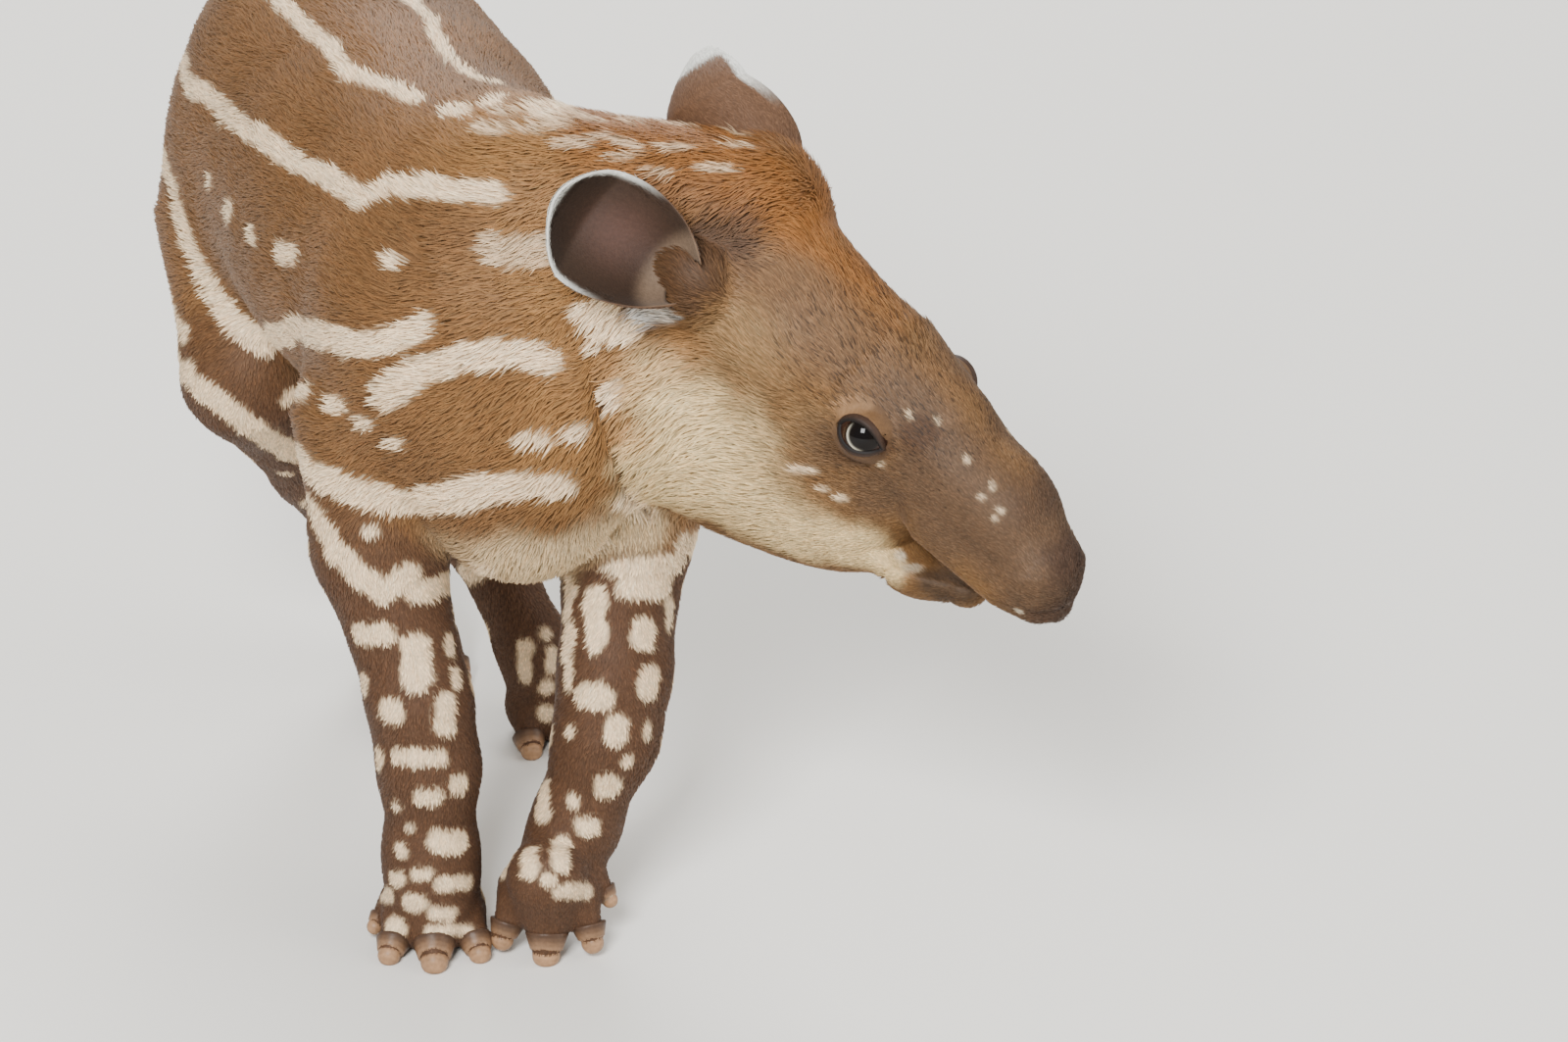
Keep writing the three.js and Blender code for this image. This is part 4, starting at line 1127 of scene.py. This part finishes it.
def tuft_mesh(name, root, normal, way, length, width, lift, bend, colours, uv):
    """Folded, tapered locks: seven corners and six triangles each."""
    n = len(root)
    side = np.cross(normal, way)
    half = (width / 2)[:, None]
    l, h = length[:, None], lift[:, None]
    sink = normal * 0.5
    curl = side * (bend * length)[:, None]
    mid = root + way * l * 0.5 + normal * h * 0.72 + curl * 0.25
    tip = root + way * l + normal * h + curl
    points = np.stack([root - sink - side * half, root + normal * half * 0.7, root - sink + side * half,
                       mid - side * half * 0.85, mid + normal * half * 0.5, mid + side * half * 0.85,
                       tip], 1)
    points[..., 2] = np.maximum(points[..., 2], 0.3)
    base = (np.arange(n) * 7)[:, None]
    quads = np.concatenate([base + np.array([[3, 4, 1, 0]]), base + np.array([[4, 5, 2, 1]])])
    tris = np.concatenate([base + np.array([[6, 4, 3]]), base + np.array([[6, 5, 4]])])
    thing = make_mesh(name, points.reshape(-1, 3), [quads, tris])
    # per-corner factors: painted shade at the sunk roots between the tufts, a little brighter toward the tip
    shade = np.array([0.62, 0.8, 0.62, 0.95, 1.0, 0.95, 1.1])
    set_colours(thing, (colours[:, None] * shade[None, :, None]).reshape(-1, 3))
    soft = np.array([[-0.25, 0.0, 0.25, -0.25, 0.0, 0.25, 0.0]])
    bent = unit(normal[:, None] + side[:, None] * soft[..., None] + 0.12 * way[:, None])
    layer = thing.data.uv_layers.new(name="OFBake")
    spot = np.array([[-1, -1], [0, -1], [1, -1], [-1, 0], [0, 0], [1, 0], [0, 1]]) * 0.0015
    corner = np.empty(len(thing.data.loops), np.int32)
    thing.data.loops.foreach_get("vertex_index", corner)
    flat = (uv[:, None] + spot[None]).reshape(-1, 2)[corner]
    layer.data.foreach_set("uv", flat.astype(np.float32).ravel())
    thing.data.normals_split_custom_set_from_vertices(bent.reshape(-1, 3).astype(np.float32))
    return thing


class TAPIR_OT_coat(bpy.types.Operator):
    """Short hair in tufts along the lie of the coat"""

    bl_idname = "tapir.coat"
    bl_label = "Coat"

    def execute(self, context):
        s = context.scene.tapir_coat
        rng = np.random.default_rng(s.seed)
        hide, marks = BUILT["hide"], BUILT["marks"]
        p, quads, normal, weights = hide.corners, hide.quads, BUILT["normal"], BUILT["weights"]
        tris = np.concatenate([quads[:, [0, 1, 2]], quads[:, [0, 2, 3]]])
        a, b, c = p[tris[:, 0]], p[tris[:, 1]], p[tris[:, 2]]
        cross = np.cross(b - a, c - a)
        area = np.linalg.norm(cross, axis=1) / 2
        middle = (a + b + c) / 3
        fine = fineness(middle, weights[tris].mean(1))
        sparse = 1.0
        need = area / (s.spacing * sparse * (1 - 0.66 * fine))
        need[bare(middle) | inside_ear(middle)] = 0
        need[cross[:, 2] / (2 * area + 1e-9) < -0.9] *= 0.6
        total = int(need.sum())
        print("tufts", total, "triangles", total * TUFT_TRIANGLES)
        spread = np.cumsum(need) / need.sum()
        pick = np.searchsorted(spread, (np.arange(total) + rng.random(total)) / total)
        pick = np.minimum(pick, len(tris) - 1)
        u, v = rng.random(total), rng.random(total)
        over = u + v > 1
        u[over], v[over] = 1 - u[over], 1 - v[over]
        share = np.stack([1 - u - v, u, v], 1)[..., None]
        root = (p[tris[pick]] * share).sum(1)
        up = unit((normal[tris[pick]] * share).sum(1))
        w = (weights[tris[pick]] * share).sum(1)
        fine = fineness(root, w)
        way = lie_of_coat(root, up, w)
        side = np.cross(up, way)
        swirl = (NOISE[1].at(root, 14.0) - 0.5) * 1.0 + rng.normal(0, 0.14, total)
        swirl *= 1 - 0.5 * fine
        way = unit(way + side * swirl[:, None])
        length = s.length * (1 - 0.66 * fine) * rng.uniform(0.75, 1.2, total)
        fluffy = fluff(root, w)
        length *= (1 + 0.5 * fluffy) * (1 - 0.5 * w[:, 3])
        width = s.width * (1 - 0.42 * fine) * rng.uniform(0.8, 1.2, total)
        waves = NOISE[2].at(root, 7.0) - 0.5
        lift = length * (0.17 + 0.10 * rng.random(total) + 0.12 * fluffy + 0.10 * waves)
        bend = rng.normal(0, 0.10, total)
        colours = marks.colours(root, w)
        colours *= (1 + rng.uniform(-1, 1, total) * (0.17 + 0.1 * fine))[:, None]
        forward, _, over = head_axes(root)
        brow = w[:, 0] * step(-75, -35, forward) * (1 - step(20, 60, forward)) * step(-12, 14, over)
        colours[rng.random(total) < 0.2 * brow] *= 0.38
        cheek = w[:, 0] * (1 - step(-5, 30, forward)) * (1 - step(-30, 4, over))
        colours[rng.random(total) < 0.16 * cheek] *= 0.62
        warm = rng.normal(0, 0.03, total)
        colours *= np.stack([1 + warm, np.ones(total), 1 - warm], 1)
        number, uv = piece_of(root, w)
        material = hair_material("short tapir hair", 1.0, 0.6, 0.03)[0]
        for i, name in enumerate(PIECES):
            here = np.flatnonzero(number == i)
            if not len(here):
                continue
            triangles = len(here) * TUFT_TRIANGLES
            if triangles >= PIECE_LIMIT:
                raise RuntimeError(f"{name} has {triangles} triangles")
            thing = tuft_mesh(name, root[here], up[here], way[here], length[here], width[here],
                              lift[here], bend[here], np.clip(colours[here], 0, 1), uv[here])
            thing.data.materials.append(material)
            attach(thing, "root")
            print(name, triangles)
        return {"FINISHED"}


def fineness(p, weights):
    """0 on the trunk, up to 1 on the muzzle and 0.8 on the feet."""
    forward = head_axes(p)[0]
    face = weights[:, 0] * (0.45 + 0.55 * step(-50, 50, forward))
    foot = weights[:, 3] * (0.2 + 0.6 * (1 - step(20, 90, p[:, 2])))
    return np.clip(np.maximum(face, foot), 0, 1)


def fluff(p, weights):
    """Where the hair is longer and stands out: crown, nape, cheek and throat."""
    forward, _, up = head_axes(p)
    cheek = weights[:, 0] * (1 - step(-30, 20, forward)) * (1 - step(-30, 0, up))
    crown = weights[:, 0] * (1 - step(-40, 10, forward)) * step(20, 34, up)
    return np.clip(cheek + crown + 0.6 * weights[:, 1], 0, 1)


def inside_ear(p):
    """Skin that an ear covers, where hair would come through the cup."""
    out = np.zeros(len(p), bool)
    for name in EAR_POSE:
        cup = ear_points(name, 24, 25, 1)[0][5:].reshape(-1, 3)
        near = inside_box(p, cup.min(0), cup.max(0), 6)
        for part in np.array_split(near, max(1, len(near) // 2000)):
            if len(part):
                out[part] = ((p[part][:, None] - cup[None]) ** 2).sum(2).min(1) < 7.0 ** 2
    return out


def bare(p):
    """No hair: soles and rims of the eyes."""
    out = p[:, 2] < BARE_SOLE
    for eye in EYES.values():
        out |= np.linalg.norm(p - eye, axis=1) < BARE_EYE
    return out


# Eyes and lids


EYE_ROWS, EYE_COLUMNS = 49, 72


class TAPIR_OT_eyes(bpy.types.Operator):
    """Wet dark eyes and the bare rims of their lids"""

    bl_idname = "tapir.eyes"
    bl_label = "Eyes"

    def execute(self, context):
        s = context.scene.tapir_eye
        rows, columns = EYE_ROWS, EYE_COLUMNS
        for side, name in ((-1, "right"), (1, "left")):
            axis = unit(head_dir(0.16, side * 0.85, 0.5))
            across = unit(np.cross(axis, head_dir(0, 0, 1)))
            over = np.cross(across, axis)
            theta = np.linspace(0.004, math.pi - 0.004, rows)[:, None]
            phi = np.linspace(0, 2 * math.pi, columns, endpoint=False)[None]
            radius = EYE_RADIUS - 0.12 + s.bulge * np.exp(-(theta / 0.5) ** 2)
            points = EYES[side] + (radius * np.cos(theta))[..., None] * axis \
                + (radius * np.sin(theta) * np.cos(phi))[..., None] * across \
                + (radius * np.sin(theta) * np.sin(phi))[..., None] * over
            faces = sheet(rows, columns, True)[:, ::-1]
            caps = [np.arange(columns)[None], (np.arange(columns)[::-1] + (rows - 1) * columns)[None]]
            ball = make_mesh(f"eyeball_{name}", points.reshape(-1, 3), [faces] + caps)
            set_colours(ball, eye_colours(points.reshape(-1, 3), side, axis, s.colour), "eye_colour")
            ball.data.materials.append(eye_material())
            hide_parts(f"eye_{name}")
            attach(ball, "root")
            rim = lid_rim(side, name)
            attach(rim, "root")
        return {"FINISHED"}


def eye_colours(p, side, axis, colour):
    """Black pupil, very dark brown iris, and a painted reflection: a pale line round its lower back edge."""
    q = p - EYES[side]
    angle = np.degrees(np.arccos(np.clip(unit(q) @ axis, -1, 1)))
    rgb = np.tile(np.array(colour[:]), (len(p), 1))
    rgb = mix(rgb, linear("0d0806"), step(14, 20, angle))
    r = q - 12.0 * np.cos(np.radians(angle))[:, None] * axis
    # painted reflection: a pale crescent of light round the lower back edge of the iris
    low_back = step(0.15, 0.8, (-(r @ head_dir(1, 0, 0)) * 0.45 - (r @ head_dir(0, 0, 1)) * 0.9) / 7)
    ring = np.exp(-((angle - 33) / 2.2) ** 2)
    rgb = mix(rgb, linear("cfc8b4"), np.clip(ring * low_back, 0, 1))
    rgb = mix(rgb, linear("2c1c16"), step(38, 44, angle))
    return rgb


def eye_material():
    """Cornea over a dark iris: a clear wet gloss."""
    material, tree, shader = new_material("wet cornea")
    marks = node(tree, "ShaderNodeAttribute", {"attribute_name": "eye_colour"})
    fibres = node(tree, "ShaderNodeTexNoise", links={"Vector": object_place(tree)}, Scale=1000 / 0.8)
    shade = ramp(tree, fibres.outputs["Fac"], [(0.3, (0.9,) * 3), (0.7, (1.1,) * 3)])
    shade_colours(tree, shader, marks, shade)
    shader.inputs["Roughness"].default_value = 0.06
    shader.inputs["IOR"].default_value = 1.376
    shader.inputs["Specular IOR Level"].default_value = 0.3
    return material


def lid_edge(count=96):
    """The opening between the lids: forward and up from the middle of the eye."""
    front, back = vec(10.8, -2.2), vec(-10.4, 0.8)
    t = np.linspace(0, 1, count // 2, endpoint=False)[:, None]

    def bez(a, b, c, d):
        return (1 - t) ** 3 * a + 3 * t * (1 - t) ** 2 * b + 3 * t * t * (1 - t) * c + t ** 3 * d

    top = bez(front, vec(6.2, 8.4), vec(-6.6, 8.2), back)
    low = bez(back, vec(-7.0, -8.0), vec(4.6, -8.0), front)
    return np.concatenate([top, low])


def lid_rim(side, name):
    """The bare rim between the lids: angle past the opening and distance from the eye's middle."""
    edge = lid_edge()
    flat = np.hypot(edge[:, 0], edge[:, 1])
    theta = np.arcsin(np.clip(flat / (EYE_RADIUS + 0.3), -1, 1))
    psi = np.arctan2(edge[:, 1], edge[:, 0])
    profile = [(-2.0, 11.8), (-0.8, 12.3), (0.6, 12.8), (3.0, 13.1), (7.0, 13.3), (12, 13.0),
               (18, 12.2), (26, 11.0)]
    ahead, out_way, over = lid_axes(side)
    rows = []
    for turn, radius in profile:
        upper = step(-0.2, 0.6, np.sin(psi))
        r = radius + 0.35 * upper * (1 if 2 < turn < 24 else 0)
        a = theta + math.radians(turn)
        rows.append(EYES[side] + (r * np.cos(a))[:, None] * out_way
                    + (r * np.sin(a) * np.cos(psi))[:, None] * ahead
                    + (r * np.sin(a) * np.sin(psi))[:, None] * over)
    points = np.concatenate(rows)
    faces = sheet(len(profile), len(edge), True)
    if side < 0:
        faces = faces[:, ::-1]
    rim = make_mesh(f"lid_rims_{name}", points, [faces])
    shade = np.repeat(np.linspace(0, 1, len(profile)), len(edge))
    wet, outer = np.array(linear("120c0a")), np.array(linear("3c2b21"))
    set_colours(rim, wet + (outer - wet) * step(0.25, 0.75, shade)[:, None])
    rim.data.materials.append(hair_material("bare dark lid skin", 1.0, 0.6, 0.0)[0])
    return rim


# Ears


EAR_POSE = {
    "right": (head_at(-104, -53, 0), unit(head_dir(-0.79, -0.55, 0.27)), head_dir(0.1, -0.64, 0.76)),
    "left": (head_at(-119, 20, 10), unit(head_dir(-0.95, 0.22, 0.2)), head_dir(0.15, 0.95, -0.15)),
}
EAR_LENGTH, EAR_HALF_WIDTH, EAR_WALL = 67.0, 28.5, 2.6
EAR_ROWS, EAR_COLUMNS = 46, 49


def ear_points(name, rows, columns, layer):
    """One face of the ear's cup; layer 0 is the back, 1 the inside."""
    root, along, aim = EAR_POSE[name]
    side = unit(np.cross(along, unit(aim)))
    face = unit(np.cross(side, along))
    s = np.linspace(0, 1, rows)[:, None]
    t = np.linspace(-1, 1, columns)[None]
    width = EAR_HALF_WIDTH * (0.42 + 0.58 * np.sin(math.pi * np.minimum(s * 0.86 + 0.02, 1))) \
        * np.sqrt(np.maximum(1 - np.maximum(0, (s - 0.42) / 0.6) ** 2.8, 0.03))
    roll = np.radians(128 - 78 * np.minimum(s * 1.6, 1) ** 0.8)
    radius = width / np.sin(np.minimum(roll, math.pi / 2))
    rim = 1 - 0.75 * np.maximum(np.abs(t), s) ** 6
    r = radius - layer * EAR_WALL * rim
    angle = roll * t
    bow = 5 * np.sin(math.pi * s)
    p = root + (s * EAR_LENGTH - layer * EAR_WALL * 0.35 * s ** 8)[..., None] * along
    p = p + (r * np.sin(angle))[..., None] * side
    p = p + (width * 0.55 - r * np.cos(angle) - bow)[..., None] * face
    return p, s * np.ones_like(t), t * np.ones_like(s)


class TAPIR_OT_ears(bpy.types.Operator):
    """Thin cupped ears with pale rims"""

    bl_idname = "tapir.ears"
    bl_label = "Ears"

    def execute(self, context):
        rows, columns = EAR_ROWS, EAR_COLUMNS
        material = skin_material()
        for name in EAR_POSE:
            back, s, t = ear_points(name, rows, columns, 0)
            inner = ear_points(name, rows, columns, 1)[0]
            points = np.concatenate([back.reshape(-1, 3), inner.reshape(-1, 3)])
            quads = sheet(rows, columns)
            size = rows * columns
            edge = np.concatenate([np.arange(columns), np.arange(1, rows) * columns + columns - 1,
                                   (rows - 1) * columns + np.arange(columns - 2, -1, -1),
                                   np.arange(rows - 2, 0, -1) * columns])
            nxt = np.roll(edge, -1)
            band = np.stack([edge, nxt, nxt + size, edge + size], 1)
            ear = make_mesh(f"ear_cup_{name}", points, [quads[:, ::-1], quads + size, band])
            outside = ear_colours(s.ravel(), t.ravel(), False)
            inside = ear_colours(s.ravel(), t.ravel(), True)
            set_colours(ear, np.concatenate([outside, inside]))
            ear.data.materials.append(material)
            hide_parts(f"ear_{name}")
            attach(ear, "root")
        hair = ear_hair()
        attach(hair, "root")
        return {"FINISHED"}


def ear_hair():
    """Short hair on the backs of the ears and round their rims."""
    rng = np.random.default_rng(23)
    parts = []
    for number, name in enumerate(EAR_POSE):
        faces = [ear_points(name, EAR_ROWS, EAR_COLUMNS, layer)[0] for layer in (0, 1)]
        for layer, count in ((0, 5200), (1, 2600)):
            grid, other = faces[layer], faces[1 - layer]
            s, t = rng.uniform(0.03, 0.985, count), rng.uniform(-0.985, 0.985, count)
            if layer:
                keep = (s > 0.84) | ((np.abs(t) > 0.82) & (s > 0.3))
                s, t = s[keep], t[keep]
            y, x = s * (EAR_ROWS - 1), (t + 1) * (EAR_COLUMNS // 2)
            i, j = y.astype(int), x.astype(int)
            fy, fx = (y - i)[:, None], (x - j)[:, None]
            along, across = grid[i + 1, j] - grid[i, j], grid[i, j + 1] - grid[i, j]
            root = grid[i, j] + along * fy + across * fx
            up = unit(np.cross(across, along))
            up *= np.sign(((grid[i, j] - other[i, j]) * up).sum(1))[:, None]
            way = along - up * (along * up).sum(1, keepdims=True)
            way = unit(unit(way) + unit(across) * rng.normal(0, 0.22, len(s))[:, None])
            uv = np.stack([0.02 + 0.46 * s + 0.5 * layer, 0.02 + (t + 1) * 0.23 + 0.5 * number], 1)
            colour = ear_colours(s, t, bool(layer)) * rng.uniform(0.8, 1.12, len(s))[:, None]
            parts.append((root, up, way, colour, uv))
    root, up, way, colour, uv = [np.concatenate(k) for k in zip(*parts)]
    n = len(root)
    length, width = rng.uniform(2.2, 3.6, n), rng.uniform(0.4, 0.6, n)
    thing = tuft_mesh("coat_ears", root, up, way, length, width, length * rng.uniform(0.1, 0.2, n),
                      rng.normal(0, 0.1, n), np.clip(colour, 0, 1), uv)
    thing.data.materials.append(hair_material("short ear hair", 1.0, 0.6, 0.08)[0])
    return thing


def ear_colours(s, t, inside):
    """Dark ear with a pale rim; s runs from root to tip, t from edge to edge."""
    low = 0.90 if inside else 0.83
    rim = np.maximum(step(low, low + 0.06, s), step(low, low + 0.07, np.abs(t)) * step(0.35, 0.7, s))
    rgb = np.tile(np.array(linear("35261b" if inside else "6a4d38")), (len(s), 1))
    if inside:
        pink = np.exp(-((s - 0.42) / 0.22) ** 2 - ((t - 0.15) / 0.5) ** 2)
        rgb = mix(rgb, linear("64443a"), 0.5 * pink)
        rgb = mix(rgb, linear("8f7863"), 0.6 * (1 - step(0.10, 0.22, s)))
    return mix(rgb, linear("e6e6de"), rim)


# Hooves


class TAPIR_OT_hooves(bpy.types.Operator):
    """Horn hooves, rounded in front and worn flat below"""

    bl_idname = "tapir.hooves"
    bl_label = "Hooves"

    def execute(self, context):
        material = hoof_material()
        for foot in FEET:
            for toe in toes_of(foot):
                thing = hoof_mesh(foot, toe)
                thing.data.materials.append(material)
                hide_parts(f"{foot}_hoof_{toe}")
                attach(thing, "root")
        return {"FINISHED"}


def hoof_mesh(foot, toe):
    """Horn cut off square behind and flat below, paler and ringed toward the tip."""
    half, reach = TOES[toe][2:4]
    aim, root = toe_frame(foot, toe)
    horn = Taper(root, root + aim(reach, 0, -half * 0.62), half + 0.6, half * 0.62, 4)
    edge = unit(aim(0.86, 0, -0.5))
    start = root + aim(reach * 0.3, 0, 0) + edge * 0.3

    def field(p):
        d = horn.at(p)
        d = blend_max(d, -((p - start) @ edge), 1.2)
        return blend_max(d, 0.05 - p[:, 2], 0.6)

    low, high = horn.low - 3, horn.high + 3
    axes = [np.arange(low[i], high[i], 0.9) for i in range(3)]
    p = np.stack(np.meshgrid(*axes, indexing="ij"), -1).reshape(-1, 3)
    value = field(p).reshape([len(a) for a in axes]).astype(np.float32)
    value[value == 0] = 1e-5
    corners, quads = surface_nets(value, axes)
    for _ in range(2):
        d = field(corners)
        slope = np.stack([(field(corners + 0.05 * e) - d) / 0.05 for e in np.eye(3)], 1)
        corners = corners - slope * (d / np.maximum((slope ** 2).sum(1), 0.3))[:, None]
    corners[:, 2] = np.maximum(corners[:, 2], 0.05)
    hoof = make_mesh(f"{foot}_horn_{toe}", corners, [quads])
    along = (corners - start) @ edge
    top, tip = np.array(linear("4d392c")), np.array(linear("a07c5c"))
    colour = top + (tip - top) * step(1, reach * 0.9, along)[:, None]
    colour *= (0.85 + 0.3 * NOISE[0].at(corners, 4.0))[:, None]
    lines = 0.92 + 0.08 * np.sin(along * 2 * math.pi / 2.2)
    set_colours(hoof, colour * lines[:, None])
    return hoof


def hoof_material():
    """Horn: hard, faintly ringed, half dull with dried earth."""
    material, tree, shader = hair_material("hoof horn", 1.0, 0.42, 0.0)
    rings = node(tree, "ShaderNodeTexNoise", links={"Vector": object_place(tree)},
                 Scale=1000 / 1.8, Detail=3.0)
    bump = node(tree, "ShaderNodeBump", links={"Height": rings.outputs["Fac"]},
                Strength=0.35, Distance=0.0004)
    tree.links.new(bump.outputs[0], shader.inputs["Normal"])
    return material


# Stage


# lamp: place in metres, size, and power as a share of the main light
LAMPS = {
    "key": ((-1.6, -2.2, 2.6), 1.3, 1.0),
    "fill": ((2.4, -1.4, 1.6), 2.2, 0.22),
    "rim": ((0.6, 2.4, 2.2), 1.6, 0.5),
}
LAMP_TARGET = Vector((0.02, -0.02, 0.22))
FLOOR_REACH = 8


class TAPIR_OT_stage(bpy.types.Operator):
    """Pale floor, soft lights and the camera of the photo"""

    bl_idname = "tapir.stage"
    bl_label = "Stage"

    def execute(self, context):
        s = context.scene.tapir_stage
        scene = context.scene
        # paper: quite matt, so no lamp is mirrored in it
        material, _, shader = new_material("matt paper floor")
        shader.inputs["Base Color"].default_value = (*s.floor, 1)
        shader.inputs["Roughness"].default_value = 0.85
        ground = bpy.data.meshes.new("floor")
        r = FLOOR_REACH
        ground.from_pydata([(-r, -r, 0), (r, -r, 0), (r, r, 0), (-r, r, 0)], [], [(0, 1, 2, 3)])
        ground.materials.append(material)
        floor = bpy.data.objects.new("floor", ground)
        scene.collection.objects.link(floor)
        for name, (at, size, share) in LAMPS.items():
            data = bpy.data.lights.new(name, "AREA")
            data.size = size
            data.energy = s.light * share
            lamp = bpy.data.objects.new(name, data)
            lamp.location = at
            lamp.rotation_euler = (LAMP_TARGET - Vector(at)).to_track_quat("-Z", "Y").to_euler()
            scene.collection.objects.link(lamp)
        world = bpy.data.worlds.new("soft room")
        world.use_nodes = True
        world.node_tree.nodes["Background"].inputs[0].default_value = (1.0, 0.98, 0.95, 1)
        world.node_tree.nodes["Background"].inputs[1].default_value = 0.5
        scene.world = world
        data = bpy.data.cameras.new("photo view")
        data.sensor_width = 36
        data.lens = FOCAL_PIXELS * data.sensor_width / PHOTO_WIDTH
        camera = bpy.data.objects.new("photo view", data)
        camera.location = Vector(place(VIEW_FROM))
        camera.rotation_euler = Vector(LOOK).to_track_quat("-Z", "Y").to_euler()
        scene.collection.objects.link(camera)
        scene.camera = camera
        return {"FINISHED"}


class TAPIR_PT_panel(bpy.types.Panel):
    """Pieces of the tapir in the sidebar"""

    bl_idname = "TAPIR_PT_panel"
    bl_label = "Young lowland tapir"
    bl_space_type = "VIEW_3D"
    bl_region_type = "UI"
    bl_category = "Tapir"

    def draw(self, context):
        layout = self.layout
        for group in (context.scene.tapir_skin, context.scene.tapir_coat,
                      context.scene.tapir_eye, context.scene.tapir_stage):
            for key in group.__annotations__:
                layout.prop(group, key)
        for operator in OPERATORS:
            layout.operator(operator.bl_idname)


OPERATORS = (TAPIR_OT_skin, TAPIR_OT_coat, TAPIR_OT_eyes, TAPIR_OT_ears, TAPIR_OT_hooves, TAPIR_OT_stage)
GROUPS = {"tapir_skin": TAPIR_PG_skin, "tapir_coat": TAPIR_PG_coat, "tapir_eye": TAPIR_PG_eye,
          "tapir_stage": TAPIR_PG_stage}


def register():
    """Make the settings, operators and panel known to Blender."""
    for group in GROUPS.values():
        bpy.utils.register_class(group)
    for name, group in GROUPS.items():
        setattr(bpy.types.Scene, name, PointerProperty(type=group))
    for operator in OPERATORS:
        bpy.utils.register_class(operator)
    bpy.utils.register_class(TAPIR_PT_panel)


def unregister():
    """Take away what register added, in the opposite order."""
    bpy.utils.unregister_class(TAPIR_PT_panel)
    for operator in reversed(OPERATORS):
        bpy.utils.unregister_class(operator)
    for name in GROUPS:
        delattr(bpy.types.Scene, name)
    for group in GROUPS.values():
        bpy.utils.unregister_class(group)


def main():
    """Build every piece in order."""
    register()
    bpy.ops.tapir.skin()
    bpy.ops.tapir.coat()
    bpy.ops.tapir.eyes()
    bpy.ops.tapir.ears()
    bpy.ops.tapir.hooves()
    bpy.ops.tapir.stage()


if __name__ == "__main__":
    main()
